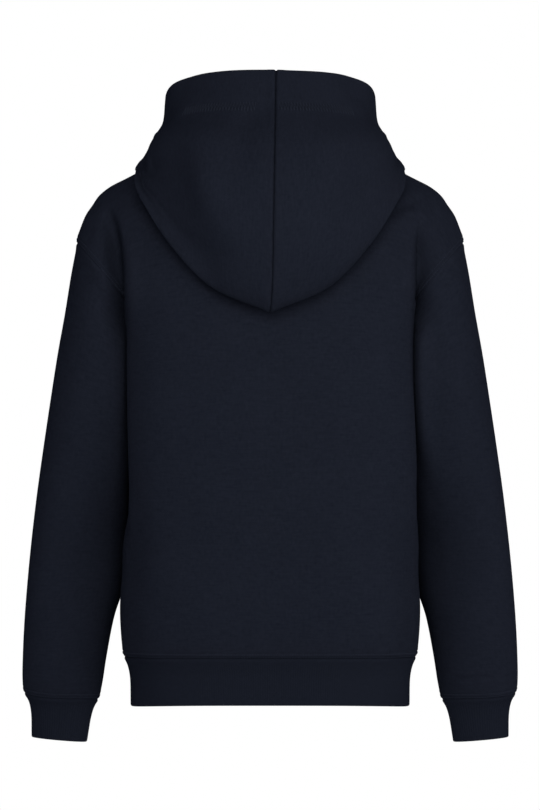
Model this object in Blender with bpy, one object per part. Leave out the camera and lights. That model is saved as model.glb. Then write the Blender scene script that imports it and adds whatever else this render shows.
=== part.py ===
"""Child's pullover hooded sweatshirt, filled out as it is worn, with no wearer inside.

Nine pieces of cloth, each a closed wall: back, front, two sleeves, two hood halves, hem band and two cuffs.
Frame: metres, +Z up, the front faces -Y, the wearer's left is +X. The origin is the middle of the neck base,
level with the shoulder high points, where a wearer's shoulders carry the garment.

The tables below are in millimetres and hold the left half; the right half is its mirror image.
"""
import math
from typing import NamedTuple

import bpy
import numpy as np

MM = 0.001
FLEECE = 2.4 * MM          # wall of the brushed fleece
RIB = 3.0 * MM             # wall of the doubled rib
SEAM_GAP = 0.3 * MM        # between two pieces at a seam
THICKEST = 1.6             # most that the wall's step grows in a sharp seam
STIFFNESS = 0.05           # keeps that step from running sideways where the pieces lie almost flat

# Grid lines of cloth between the stations of a panel's half row: centre, blade, round, corner, hollow, edge.
ACROSS = (7, 2, 2, 2, 2)
ROWS_BODY = 8              # from the hem seam to the underarm
ROWS_YOKE = 8              # from the underarm to the shoulder seam
ROWS_SLEEVE = 14
HOOD_SPANS = (1, 1, 1, 2, 2, 1, 1, 1, 1, 2, 2, 2)   # between the main points of a hood section


class Level(NamedTuple):
    """One level section of the body: the depths at the centre lines and where the side lies."""
    z: float
    back: float
    front: float
    corner_x: float        # where the draped cloth turns from the back to the side
    side_x: float          # at the side seam, pressed in where the sleeve hangs
    dip: float = 0.0       # how far the line sags between the centre and the side seam, under the armhole
    rise: float = 0.0      # how far it rises towards the centre back and front


BODY = (
    Level(-511, 97, 98, 141.0, 151.0, rise=1.0),
    Level(-490, 101, 102, 144.0, 153.3, rise=0.5),
    Level(-460, 102, 103, 145.5, 154.5),
    Level(-425, 101, 103, 143.5, 152.3),
    Level(-392, 100, 102, 140.5, 150.8),
    Level(-360, 100, 102, 142.5, 143.6),
    Level(-280, 100, 102, 145.5, 136.0),
    Level(-215, 99, 101, 146.5, 133.5, 3.0),
    Level(-178, 98, 100, 146.5, 133.0, 9.0),
    Level(-157, 97, 98, 147.0, 136.5, 15.0),
)
DIP_SHARES = (0.0, 0.1, 0.5, 0.9, 1.0, 0.0)   # of a level's dip at its stations
CORNER_BACK = 48.0         # how far behind the side seam that turn lies
CORNER_FRONT = 56.0        # and how far before it


class YokeRow(NamedTuple):
    """One section above the underarm: (x, y, z) of the stations, with y counted outwards from the side seam."""
    centre: tuple
    blade: tuple
    round: tuple
    corner: tuple
    hollow: tuple


YOKE_BACK = (              # at a quarter, a half and three quarters of the armhole
    YokeRow((0, 93, -116), (79, 89, -117), (124, 78, -121), (147.5, 64.5, -128), (149.5, 56, -136.5)),
    YokeRow((0, 84, -78), (81, 77, -76), (122, 69, -82), (149, 62, -95), (158, 60, -109)),
    YokeRow((0, 69, -43), (83, 49, -26), (114, 47, -34), (145, 47, -51), (169, 46, -72)),
)
YOKE_FRONT = (
    YokeRow((0, 95, -130), (79, 90, -126), (123, 79, -126), (147, 65, -129), (149.5, 56, -137)),
    YokeRow((0, 91, -106), (81, 78, -90), (121, 69, -88), (147, 61, -97), (157, 60, -110)),
    YokeRow((0, 86, -84), (83, 49, -34), (113, 47, -38), (143, 47, -52), (168, 45, -72)),
)
SHOULDER = YokeRow((0, 0, 0), (82, 0, 6), (112, 0, -3), (140, 0, -15), (177, 0, -39))

NECK_WIDTH = 82.0          # half the neck opening, at the shoulder high points
NECK_BACK = (52.0, -12.0)  # y and z of the neckline at the centre back
NECK_FRONT = (80.0, -62.0)
NECK_AXIS_Y = -12.0        # the hood's sections turn round this upright line

ARMHOLE_TOP = (198.5, -86.0)
ARMHOLE_FOOT = (136.5, -157.0)
ARMHOLE_DEPTH = 62.0


class Ring(NamedTuple):
    """One section of a sleeve: its outer and inner points (x, z), its half depth and the y of its middle."""
    outer_x: float
    outer_z: float
    inner_x: float
    inner_z: float
    depth: float
    y: float
    shift: float = 0.0     # how far behind the middle its inner point lies
    blunt: float = 0.0     # 0 where the inner side is round, towards 1 where it lies flat against the body
    sag: float = 0.0       # how far the back and front hang below the line from outer to inner point


SLEEVE = (
    Ring(198.5, -86.0, 136.5, -157.0, 62.0, 0.0),
    Ring(204.8, -118.0, 142.5, -171.0, 54.5, -4.0, 4.0, 0.25),
    Ring(211.4, -158.0, 143.0, -195.0, 53.0, -7.0, 8.0, 0.38),
    Ring(219.0, -200.0, 143.0, -227.0, 52.5, -9.0, 10.0, 0.42),
    Ring(226.6, -248.0, 142.5, -263.0, 52.0, -12.0, 6.0, 0.42),
    Ring(234.0, -297.0, 142.5, -305.0, 51.5, -15.0, -4.0, 0.40),
    Ring(240.8, -345.0, 145.4, -349.0, 50.0, -18.0, -16.0, 0.35),
    Ring(246.5, -392.0, 148.2, -392.0, 48.0, -22.0, -28.0, 0.25),
    Ring(251.0, -437.0, 150.5, -435.0, 45.0, -25.0, -27.0, 0.15),
    Ring(254.2, -478.0, 161.5, -472.0, 42.0, -28.0, -12.0),
    Ring(255.9, -512.0, 169.2, -512.0, 38.5, -31.0, -4.0, 0.0, 1.0),
    Ring(256.3, -535.0, 173.2, -538.0, 34.5, -33.0, 0.0, 0.0, 3.0),
    Ring(255.2, -549.5, 177.0, -557.0, 30.0, -34.0, 0.0, 0.0, 5.0),
)
CUFF = (
    Ring(255.2, -549.5, 177.0, -557.0, 30.0, -34.0, 0.0, 0.0, 5.0),
    Ring(250.0, -558.0, 181.5, -563.5, 25.5, -34.0, 0.0, 0.0, 4.0),
    Ring(247.4, -570.0, 185.0, -574.0, 22.5, -34.0, 0.0, 0.0, 2.5),
    Ring(246.8, -594.5, 189.4, -599.5, 21.5, -34.0),
)
BAND = (
    Level(-511, 97, 98, 141.0, 151.0, rise=1.0),
    Level(-519, 94, 95, 137.5, 147.0, rise=1.5),
    Level(-531, 91, 92, 135.0, 144.3, rise=2.5),
    Level(-560, 90, 91, 134.0, 143.5, rise=4.0),
)


class HoodSection(NamedTuple):
    """One upright section of the hood round the neck axis: radius and height of its main points."""
    azimuth: float         # degrees round the neck axis, 0 at the centre back
    fold_r: float          # where the hanging pouch turns under
    fold_z: float
    full_r: float          # the fullest part of the outer layer
    full_z: float
    casing_r: float        # the lower edge of the turned hem
    casing_z: float
    rim_r: float           # the face edge
    rim_z: float
    roll: float = 10.0     # how far the cloth rounds out beyond its fold


HOOD = (
    HoodSection(0, 125, -159, 154, -55, 99, 51, 80, 88),
    HoodSection(24, 131, -137, 158, -48, 104, 50, 85, 87.5),
    HoodSection(42, 142, -96, 156, -34, 109, 48, 91, 86),
    HoodSection(59, 147.5, -45, 149, -16, 112, 44, 97.5, 82, 8.5),
    HoodSection(76, 138, -15, 131.5, 1, 110.5, 38, 106, 74, 5),
    HoodSection(90, 135.5, -11.5, 127, 6, 111.5, 36, 108, 63, 4),
    HoodSection(115, 121, -18, 117, 0, 108, 17, 104, 38, 4),
    HoodSection(140, 98, -39, 99, -22, 96, -8, 94, 6),
    HoodSection(162, 83, -53, 85, -42, 85, -32, 85, -22),
    HoodSection(180, 77, -59, 78, -56, 78, -53, 78, -50),
)
CREST = ((2.5, 10.0), (9.0, 17.0), (17.0, 13.0))   # out of the neckline the hood rises, then falls over
FOLD_TURN = ((-0.9, 0.9), (0.0, 0.0), (1.0, 0.7))  # round the fold at the foot of the pouch, in rolls


def tangents(keys, knots):
    """Slope at every key of a curve, from its two neighbours, each weighted by the other's distance."""
    step = np.diff(knots, axis=-1)[..., None]
    slope = np.diff(keys, axis=-2) / step
    before, after = step[..., :-1, :], step[..., 1:, :]
    return (after * slope[..., :-1, :] + before * slope[..., 1:, :]) / (before + after)


def smooth(keys, spans, ghosts):
    """Samples a smooth curve through keys (..., n, 3), spans[i] pieces in gap i; ghosts lie beyond both ends."""
    keys = np.concatenate([ghosts[0][..., None, :], keys, ghosts[1][..., None, :]], axis=-2)
    chord = np.linalg.norm(np.diff(keys, axis=-2), axis=-1)
    knots = np.concatenate([np.zeros_like(chord[..., :1]), np.cumsum(np.sqrt(chord), axis=-1)], axis=-1)
    slope = tangents(keys, knots)
    gap = np.repeat(np.arange(len(spans)), spans)
    t = np.concatenate([np.arange(n) / n for n in spans])
    gap, t = np.append(gap, len(spans) - 1), np.append(t, 1.0)[:, None]
    start, stop = keys[..., gap + 1, :], keys[..., gap + 2, :]
    width = (knots[..., gap + 2] - knots[..., gap + 1])[..., None]
    rise = slope[..., gap, :] * width
    fall = slope[..., gap + 1, :] * width
    return ((2 * t**3 - 3 * t**2 + 1) * start + (t**3 - 2 * t**2 + t) * rise
            + (3 * t**2 - 2 * t**3) * stop + (t**3 - t**2) * fall)


def spread(keys, count):
    """The same smooth curve over n keys, sampled at count + 1 even shares of its n - 1 gaps, ends straight on."""
    fine = 12
    first, last = 2 * keys[0] - keys[1], 2 * keys[-1] - keys[-2]
    dense = smooth(np.moveaxis(keys, 0, -2), [fine] * (len(keys) - 1),
                   (np.asarray(first), np.asarray(last)))
    share = np.linspace(0, dense.shape[-2] - 1, count + 1)
    low = np.minimum(share.astype(int), dense.shape[-2] - 2)
    part = (share - low)[:, None]
    return np.moveaxis(dense[..., low, :] * (1 - part) + dense[..., low + 1, :] * part, -2, 0)


def flip(points):
    """The mirror image of points in the plane x = 0."""
    return points * np.array([-1.0, 1.0, 1.0])


def level_row(level, outward):
    """Stations of a level section from the centre line to the side seam; outward is +1 at the back, -1 before."""
    depth, corner_y = (level.back, CORNER_BACK) if outward > 0 else (level.front, CORNER_FRONT)
    hollow_x = level.side_x + 0.28 * (level.corner_x - level.side_x)
    row = np.array([
        (0.0, outward * depth, level.z),
        (0.53 * level.corner_x, outward * 0.965 * depth, level.z),
        (0.84 * level.corner_x, outward * 0.80 * depth, level.z),
        (level.corner_x, outward * corner_y, level.z),
        (hollow_x, outward * 0.62 * corner_y, level.z),
        (level.side_x, 0.0, level.z),
    ])
    row[:, 2] += level.rise * (row[:, 1] / depth) ** 2 - level.dip * np.array(DIP_SHARES)
    return row


def armhole(angle, outward):
    """Point of the armhole seam: angle 0 at its top, pi at the underarm, a slanted ellipse."""
    top, foot = np.array(ARMHOLE_TOP), np.array(ARMHOLE_FOOT)
    middle, half = (top + foot) / 2, (top - foot) / 2
    x, z = middle + math.cos(angle) * half
    return np.array([x, outward * math.sin(angle) * ARMHOLE_DEPTH, z])


def neckline(share, outward):
    """Point of the neckline: share 0 at the centre line, 1 at the shoulder high point, an arc in plan."""
    depth, drop = NECK_BACK if outward > 0 else NECK_FRONT
    turn = share * math.pi / 2
    high = SHOULDER.blade
    y = high[1] + (depth - high[1]) * math.cos(turn)
    z = high[2] + (drop - high[2]) * math.cos(turn) ** 1.6
    return np.array([NECK_WIDTH * math.sin(turn), outward * y, z])


def half_panel(outward):
    """Grid of half a body panel, rows from the hem seam up, columns from the centre line to the side."""
    yoke = YOKE_BACK if outward > 0 else YOKE_FRONT
    beyond = YOKE_FRONT if outward > 0 else YOKE_BACK
    turn = np.array([1.0, outward, 1.0])
    lower = [level_row(level, outward)[:5] for level in BODY]
    upper = [np.array(row, dtype=float) * turn for row in yoke]
    top = np.array(SHOULDER, dtype=float) * turn
    top[0] = neckline(0.0, outward)
    ghost_top = np.array(beyond[-1], dtype=float) * turn * np.array([1.0, -1.0, 1.0])
    ghost_top[0] = top[0] + np.array([0.0, outward * 12.0, 20.0])
    lower = spread(np.array(lower), ROWS_BODY)
    keys = np.moveaxis(np.array([lower[-1], *upper, top]), 0, -2)
    upper = smooth(keys, [ROWS_YOKE // 4] * 4, (lower[-2], ghost_top))
    columns = np.concatenate([lower, np.moveaxis(upper, -2, 0)[1:]])

    seam = spread(np.array([level_row(level, outward)[5] for level in BODY]), ROWS_BODY)
    hole = [armhole(math.pi * (1 - i / ROWS_YOKE), outward) for i in range(1, ROWS_YOKE + 1)]
    edge = np.concatenate([seam, np.array(hole)])
    keys = np.concatenate([columns, edge[:, None]], axis=1)
    past_side = spread(np.array([level_row(level, -outward)[4] for level in BODY]), ROWS_BODY)
    past_hole = [ring_point(SLEEVE[1], math.pi * (1 - i / ROWS_YOKE), outward) for i in range(1, ROWS_YOKE + 1)]
    past_edge = np.concatenate([past_side, np.array(past_hole)])
    grid = smooth(keys, ACROSS, (flip(keys[:, 1]), past_edge))

    neck = [neckline(i / ACROSS[0], outward) for i in range(ACROSS[0])]
    shift = np.concatenate([np.array(neck), shoulder_seam()]) - grid[-1]
    for i in range(ROWS_YOKE + 1):
        grid[ROWS_BODY + i] += (i / ROWS_YOKE) ** 3 * shift
    return grid


def shoulder_seam():
    """Points of the shoulder seam from the shoulder high point to the top of the armhole."""
    keys = np.array([*SHOULDER[1:], armhole(0.0, 1.0)], dtype=float)
    past_top = ring_point(SLEEVE[1], 0.0, 1.0) * np.array([1.0, 0.0, 1.0])
    return smooth(keys, ACROSS[1:], (2 * keys[0] - keys[1], past_top))


def ring_point(ring, angle, outward):
    """Point of a sleeve section: angle 0 at its outer point, pi at its inner one."""
    outer = np.array([ring.outer_x, ring.outer_z])
    inner = np.array([ring.inner_x, ring.inner_z])
    x, z = (outer + inner) / 2 + math.cos(angle) * (outer - inner) / 2
    side = math.sin(angle)
    inside = (1 - math.cos(angle)) / 2
    bulge = math.copysign(abs(side) ** (1 - ring.blunt * inside), side)
    y = ring.y + ring.shift * inside + outward * bulge * ring.depth
    return np.array([x, y, z - ring.sag * abs(side) * (1 - inside)])


def tube(rings, rows):
    """Grid of a sleeve or cuff: rows down the arm, columns once round from the outer point over the back."""
    turns = [math.pi * i / ROWS_YOKE for i in range(2 * ROWS_YOKE)]
    keys = np.array([[ring_point(ring, angle, 1.0) for angle in turns] for ring in rings])
    return spread(keys, rows)


def band(levels, rows):
    """Grid of the hem band: rows down, columns once round from the centre back over the left side."""
    halves = []
    for outward in (1.0, -1.0):
        keys = np.array([level_row(level, outward) for level in levels])
        past_side = np.array([level_row(level, -outward)[4] for level in levels])
        halves.append(smooth(keys, ACROSS, (flip(keys[:, 1]), past_side)))
    back, front = halves
    left = np.concatenate([back, front[:, -2::-1]], axis=1)
    return spread(np.concatenate([left, flip(left)[:, -2:0:-1]], axis=1), rows)


def half_hood():
    """Grid of half the hood: rows from the centre seam round to the centre front, columns from neckline to rim."""
    back = [neckline(i / ACROSS[0], 1.0) for i in range(ACROSS[0] + 1)]
    front = [neckline(1 - i / ACROSS[0], -1.0) for i in range(1, ACROSS[0] + 1)]
    foot = np.array(back + front)
    azimuth = np.arctan2(foot[:, 0], foot[:, 1] - NECK_AXIS_Y)
    table = np.array(HOOD, dtype=float)
    angles = np.radians(table[:, 0])
    value = np.stack([np.interp(azimuth, *curve(angles, table[:, i])) for i in range(1, 10)], axis=1)
    fold, full, casing, rim, roll = value[:, 0:2], value[:, 2:4], value[:, 4:6], value[:, 6:8], value[:, 8:9]
    start = np.stack([np.hypot(foot[:, 0], foot[:, 1] - NECK_AXIS_Y), foot[:, 2]], axis=1)
    fade = np.clip((math.pi - azimuth) / math.radians(70.0), 0.0, 1.0)[:, None]
    crest = [start + np.array(step) for step in CREST]
    turn = [fold + roll * np.array(step) for step in FOLD_TURN]
    inner = 0.5 * (crest[-1] + turn[0]) + reach(turn[0] - crest[-1]) * np.array([0.045, 0.035])
    low = 0.5 * (turn[-1] + full) + reach(full - turn[-1]) * np.array([0.09, -0.05])
    high = 0.5 * (full + casing) + reach(casing - full) * np.array([0.06, 0.07])
    path = np.stack([start, *crest, inner, *turn, low, full, high, casing, rim], axis=1)
    share = np.linspace(0.0, 1.0, path.shape[1])[:, None]
    flat = start[:, None] * (1 - share) + rim[:, None] * share
    path = flat + fade[:, None] * (path - flat)
    ends = (2 * path[:, 0] - path[:, 1], 2 * path[:, -1] - path[:, -2])
    radial = smooth(path, HOOD_SPANS, ends)
    x = radial[..., 0] * np.sin(azimuth)[:, None]
    y = NECK_AXIS_Y + radial[..., 0] * np.cos(azimuth)[:, None]
    grid = np.stack([x, y, radial[..., 1]], axis=-1)
    grid[:, 0] = foot
    return grid


def reach(step):
    """Length of each step, ready to multiply a direction."""
    return np.linalg.norm(step, axis=-1, keepdims=True)


def curve(at, values):
    """Dense samples of a smooth curve through (at, values), for reading by straight interpolation."""
    keys = np.stack([at, values, np.zeros_like(at)], axis=1)
    dense = spread(keys, 12 * (len(at) - 1))
    return dense[:, 0], dense[:, 1]


class Piece(NamedTuple):
    """A piece of cloth before it gets its wall: its outer face as a grid, and how it is closed."""
    name: str
    grid: np.ndarray
    closed: bool           # the columns go once round
    wall: float
    material: str


def pieces():
    """All nine pieces, with their outer faces in metres."""
    sides = {}
    for outward in (1.0, -1.0):
        left = half_panel(outward)
        sides[outward] = np.concatenate([flip(left)[:, :0:-1], left], axis=1)
    sleeve, cuff, hood = tube(SLEEVE, ROWS_SLEEVE), tube(CUFF, 3), half_hood()
    made = [
        Piece("back_panel", sides[1.0], False, FLEECE, "fleece"),
        Piece("front_panel", sides[-1.0][:, ::-1], False, FLEECE, "fleece"),
        Piece("sleeve_left", sleeve, True, FLEECE, "fleece"),
        Piece("sleeve_right", flip(sleeve)[:, ::-1], True, FLEECE, "fleece"),
        Piece("hood_left", hood[::-1], False, FLEECE, "fleece"),
        Piece("hood_right", flip(hood), False, FLEECE, "fleece"),
        Piece("hem_band", band(BAND, 3)[:, ::-1], True, RIB, "rib"),
        Piece("cuff_left", cuff, True, RIB, "rib"),
        Piece("cuff_right", flip(cuff)[:, ::-1], True, RIB, "rib"),
    ]
    return [piece._replace(grid=piece.grid * MM) for piece in made]


def point_normals(piece):
    """Unit normals at a piece's points: the mean of the faces round each, weighed by their angles there."""
    rows, columns = piece.grid.shape[:2]
    grid = np.concatenate([piece.grid, piece.grid[:, :1]], axis=1) if piece.closed else piece.grid
    low, high = slice(None, -1), slice(1, None)
    ring = [(low, low), (high, low), (high, high), (low, high)]
    corners = [grid[place] for place in ring]
    normal = unit(np.cross(corners[1] - corners[3], corners[2] - corners[0]))
    total = np.zeros_like(grid)
    for i, place in enumerate(ring):
        ahead = unit(corners[(i + 1) % 4] - corners[i])
        behind = unit(corners[i - 1] - corners[i])
        cosine = np.sum(ahead * behind, axis=-1, keepdims=True)
        total[place] += np.arccos(np.clip(cosine, -1.0, 1.0)) * normal
    if piece.closed:
        total[:, 0] += total[:, columns]
    return unit(total[:, :columns])


def gathered(made, vectors):
    """Sums vectors, one grid for each piece, over all the pieces that share a point; also counts those pieces."""
    points = np.concatenate([piece.grid.reshape(-1, 3) for piece in made])
    flat = np.concatenate([vector.reshape(-1, 3) for vector in vectors])
    _, place = np.unique(np.round(points / (0.02 * MM)).astype(np.int64), axis=0, return_inverse=True)
    place = place.reshape(-1)
    total = np.zeros((place.max() + 1, 3))
    np.add.at(total, place, flat)
    cuts = np.cumsum([len(piece.grid.reshape(-1, 3)) for piece in made])[:-1]
    sums = np.split(total[place], cuts)
    counts = np.split(np.bincount(place)[place][:, None].astype(float), cuts)
    shapes = [piece.grid.shape for piece in made]
    return ([part.reshape(shape) for part, shape in zip(sums, shapes)],
            [part.reshape(*shape[:2], 1) for part, shape in zip(counts, shapes)])


def unit(vectors):
    """The vectors at length one; a zero vector stays zero."""
    return vectors / np.maximum(reach(vectors), 1e-12)


def inwards(piece):
    """Unit vectors at a piece's edges, pointing into the piece along its face; zero elsewhere."""
    found = np.zeros_like(piece.grid)
    for near, far in ((0, 1), (-1, -2)):
        found[near] += unit(piece.grid[far] - piece.grid[near])
        if not piece.closed:
            found[:, near] += unit(piece.grid[:, far] - piece.grid[:, near])
    return unit(found)


def wall_steps(made):
    """For every point the step from the outer face to the inner one, for a wall of thickness one.

    Away from the seams it runs straight back along the normal. At a seam it goes equally far behind the face of
    every piece that meets there (least squares, held back a little by STIFFNESS), and is at most THICKEST long.
    """
    normals = [point_normals(piece) for piece in made]
    rows = [gathered(made, [normal * normal[..., [i]] for normal in normals])[0] for i in range(3)]
    steps = []
    for total, count, *spans in zip(*gathered(made, normals), *rows):
        square = np.stack(spans, axis=-2) + STIFFNESS * np.eye(3)
        step = -np.linalg.solve(square, total[..., None])[..., 0]
        lean = -np.sum(step * total, axis=-1, keepdims=True) / count
        steps.append(step / np.maximum(lean, reach(step) / THICKEST))
    return steps


def seam_shifts(made):
    """Moves each piece's edge away from the pieces sewn to it, so that the seam gap lies between them."""
    own = [inwards(piece) for piece in made]
    sums, counts = gathered(made, own)
    return [0.5 * SEAM_GAP * unit(mine - (total - mine) / np.maximum(count - 1, 1))
            for mine, total, count in zip(own, sums, counts)]


def wall_faces(points, rows, columns, closed):
    """Triangles of a wall whose outer points come first and whose inner points follow in the same order.

    Every four-sided face is split on its shorter diagonal, so mirrored pieces and shared edges split alike.
    """
    count = rows * columns
    index = np.arange(count).reshape(rows, columns)
    if closed:
        index = np.concatenate([index, index[:, :1]], axis=1)
    ring = [index[:-1, :-1], index[1:, :-1], index[1:, 1:], index[:-1, 1:]]
    outer = split(points, *(corner.reshape(-1) for corner in ring))
    faces = [outer, outer[:, ::-1] + count]
    rims = [index[0], index[-1, ::-1]]
    if not closed:
        rims = [np.concatenate([index[0], index[1:, -1], index[-1, -2::-1], index[-2::-1, 0]])]
    for rim in rims:
        near, far = rim[:-1], rim[1:]
        faces.append(split(points, near, far, far + count, near + count))
    return np.concatenate(faces)


def split(points, a, b, c, d):
    """Two triangles for each face with corners a, b, c, d, split on the shorter diagonal."""
    along = reach(points[c] - points[a]) < reach(points[d] - points[b])
    first = np.where(along, np.stack([a, b, c], -1), np.stack([a, b, d], -1))
    second = np.where(along, np.stack([a, c, d], -1), np.stack([b, c, d], -1))
    return np.concatenate([first, second])


def build(piece, step, shift, material):
    """Makes the piece's object: outer face, inner face and the edges between them."""
    outer = piece.grid + shift
    inner = outer + piece.wall * step
    points = np.concatenate([outer.reshape(-1, 3), inner.reshape(-1, 3)])
    rows, columns = piece.grid.shape[:2]
    mesh = bpy.data.meshes.new(piece.name)
    mesh.from_pydata(points.tolist(), [], wall_faces(points, rows, columns, piece.closed).tolist())
    mesh.materials.append(material)
    mesh.shade_smooth()
    mesh.set_sharp_from_angle(angle=math.radians(50.0))
    mesh.validate()
    thing = bpy.data.objects.new(piece.name, mesh)
    bpy.context.scene.collection.objects.link(thing)


def cloth_material(name, colour, roughness):
    """A plain cloth finish."""
    material = bpy.data.materials.new(name)
    material.use_nodes = True
    shader = material.node_tree.nodes["Principled BSDF"]
    shader.inputs["Base Color"].default_value = (*colour, 1.0)
    shader.inputs["Roughness"].default_value = roughness
    shader.inputs["Metallic"].default_value = 0.0
    return material


def main():
    """Clears the scene and builds the nine pieces."""
    for thing in list(bpy.data.objects):
        bpy.data.objects.remove(thing, do_unlink=True)
    made = pieces()
    for piece, step, shift in zip(made, wall_steps(made), seam_shifts(made)):
        shade = (0.010, 0.012, 0.020) if piece.material == "fleece" else (0.009, 0.011, 0.018)
        build(piece, step, shift, cloth_material(piece.name + "_" + piece.material, shade, 0.9))


main()
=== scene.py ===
"""Child's pullover hooded sweatshirt in navy brushed fleece, filled out as it is worn, with no wearer inside.

The hood lies down behind. Every cut piece is a thin wall of cloth on the form of its solid in the frame:
back, front, two sleeves, two hood halves, ribbed hem band and two ribbed cuffs, sewn and topstitched.

Frame: metres, +Z up, the front faces -Y, the wearer's left is +X, the origin is the middle of the neck base.
The sizes in the tables are in millimetres and hold the left half; the right half is its mirror image.
"""
import logging
import math
from dataclasses import astuple, dataclass, field, replace
from enum import Enum
from typing import Optional, Sequence

import bpy
import numpy as np
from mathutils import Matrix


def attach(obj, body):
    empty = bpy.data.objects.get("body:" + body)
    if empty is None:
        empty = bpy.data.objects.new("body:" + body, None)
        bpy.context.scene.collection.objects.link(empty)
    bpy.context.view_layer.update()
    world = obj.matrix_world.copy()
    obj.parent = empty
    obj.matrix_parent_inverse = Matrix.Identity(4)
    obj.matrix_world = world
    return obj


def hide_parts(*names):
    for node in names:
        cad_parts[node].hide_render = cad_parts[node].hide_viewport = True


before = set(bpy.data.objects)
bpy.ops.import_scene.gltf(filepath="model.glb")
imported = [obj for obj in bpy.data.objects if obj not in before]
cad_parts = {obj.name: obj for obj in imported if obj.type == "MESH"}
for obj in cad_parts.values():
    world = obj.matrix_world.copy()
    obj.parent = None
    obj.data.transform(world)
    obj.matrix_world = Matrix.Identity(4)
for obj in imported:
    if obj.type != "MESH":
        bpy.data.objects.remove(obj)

MM = 0.001
LOG = logging.getLogger("hooded_sweatshirt")
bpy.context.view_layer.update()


class Slot(Enum):
    """The record's material slots."""

    FLEECE = "fleece"
    RIB = "rib"


class Edge(Enum):
    """The four edges of a grid of cloth."""

    FIRST_ROW = (0, 0)
    LAST_ROW = (0, -1)
    FIRST_COLUMN = (1, 0)
    LAST_COLUMN = (1, -1)


# ---- Curves and small vector helpers ----

def length(vectors: np.ndarray) -> np.ndarray:
    """Length of each vector, kept as a last axis of one."""
    return np.linalg.norm(vectors, axis=-1, keepdims=True)


def unit(vectors: np.ndarray) -> np.ndarray:
    """The vectors at length one; a zero vector stays zero."""
    return vectors / np.maximum(length(vectors), 1e-12)


def flip(points: np.ndarray) -> np.ndarray:
    """Mirror image of points in the plane x = 0."""
    return points * np.array([-1.0, 1.0, 1.0])


def smooth(keys: np.ndarray, at: np.ndarray, ghosts: tuple[np.ndarray, np.ndarray]) -> np.ndarray:
    """Reads a smooth curve through keys: cubic pieces whose knots are the running sum of root chord lengths.

    Args:
        keys: points (..., n, 3).
        at: places to read, counted in gaps between keys, 0 to n - 1.
        ghosts: a point (..., 3) beyond each end, which sets the slope there.

    Returns:
        Points (..., len(at), 3).
    """
    keys = np.concatenate([ghosts[0][..., None, :], keys, ghosts[1][..., None, :]], axis=-2)
    chord = np.linalg.norm(np.diff(keys, axis=-2), axis=-1)
    knots = np.concatenate([np.zeros_like(chord[..., :1]), np.cumsum(np.sqrt(chord), axis=-1)], axis=-1)
    step = np.diff(knots, axis=-1)[..., None]
    rate = np.diff(keys, axis=-2) / step
    before, after = step[..., :-1, :], step[..., 1:, :]
    slope = (after * rate[..., :-1, :] + before * rate[..., 1:, :]) / (before + after)
    gap = np.clip(at.astype(int), 0, keys.shape[-2] - 4)
    t = (at - gap)[:, None]
    width = (knots[..., gap + 2] - knots[..., gap + 1])[..., None]
    return ((2 * t**3 - 3 * t**2 + 1) * keys[..., gap + 1, :] + (t**3 - 2 * t**2 + t) * slope[..., gap,
                                                                                              :] * width
            + (3 * t**2 - 2 * t**3) * keys[..., gap + 2, :] + (t**3 - t**2) * slope[..., gap + 1, :] * width)


def smoothstep(t: np.ndarray) -> np.ndarray:
    """The soft step 3 t^2 - 2 t^3, for t from 0 to 1."""
    return t * t * (3 - 2 * t)


def run_along(line: np.ndarray) -> np.ndarray:
    """Distance along a line of points, from its first point."""
    return np.concatenate([[0.0], np.cumsum(np.linalg.norm(np.diff(line, axis=0), axis=1))])


def read_line(line: np.ndarray, run: np.ndarray, wanted: np.ndarray) -> np.ndarray:
    """Points (or vectors) of a line at the wanted distances, where run is the distance of its own points."""
    return np.stack([np.interp(wanted, run, line[:, i]) for i in range(3)], axis=1)


def straight_ends(keys: np.ndarray) -> tuple[np.ndarray, np.ndarray]:
    """A point beyond each end of keys (n, ...), in line with the last two there."""
    return 2 * keys[0] - keys[1], 2 * keys[-1] - keys[-2]


def spread(keys: np.ndarray, shares: np.ndarray) -> np.ndarray:
    """Reads the smooth curve over the first axis of keys (n, ..., 3) at shares 0 to 1 of its gaps."""
    at = shares * (len(keys) - 1)
    return np.moveaxis(smooth(np.moveaxis(keys, 0, -2), at, straight_ends(keys)), -2, 0)


def read_table(at: np.ndarray, values: np.ndarray, wanted: np.ndarray) -> np.ndarray:
    """Value at each wanted place on the smooth curve through (at, values)."""
    keys = np.stack([at, values, np.zeros_like(at)], axis=1)
    dense = spread(keys, np.linspace(0.0, 1.0, 40 * len(at)))
    return np.interp(wanted, dense[:, 0], dense[:, 1])


def crowded(count: int, first: float = 0.0, last: float = 0.0, reach: float = 0.03) -> np.ndarray:
    """Shares 0 to 1 in count steps, crowded at the ends.

    Their density is 1 + first * exp(-s / reach) + last * exp(-(1 - s) / reach).

    Args:
        count: number of steps.
        first: extra density at share 0.
        last: extra density at share 1.
        reach: share over which the crowding fades.

    Returns:
        count + 1 shares.
    """
    s = np.linspace(0.0, 1.0, 4001)
    density = 1 + first * np.exp(-s / reach) + last * np.exp(-(1 - s) / reach)
    total = np.concatenate([[0.0], np.cumsum(0.5 * (density[1:] + density[:-1]))])
    return np.interp(np.linspace(0.0, 1.0, count + 1), total / total[-1], s)


# ---- Cloth: a face grid, its relief and its wall ----

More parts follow.
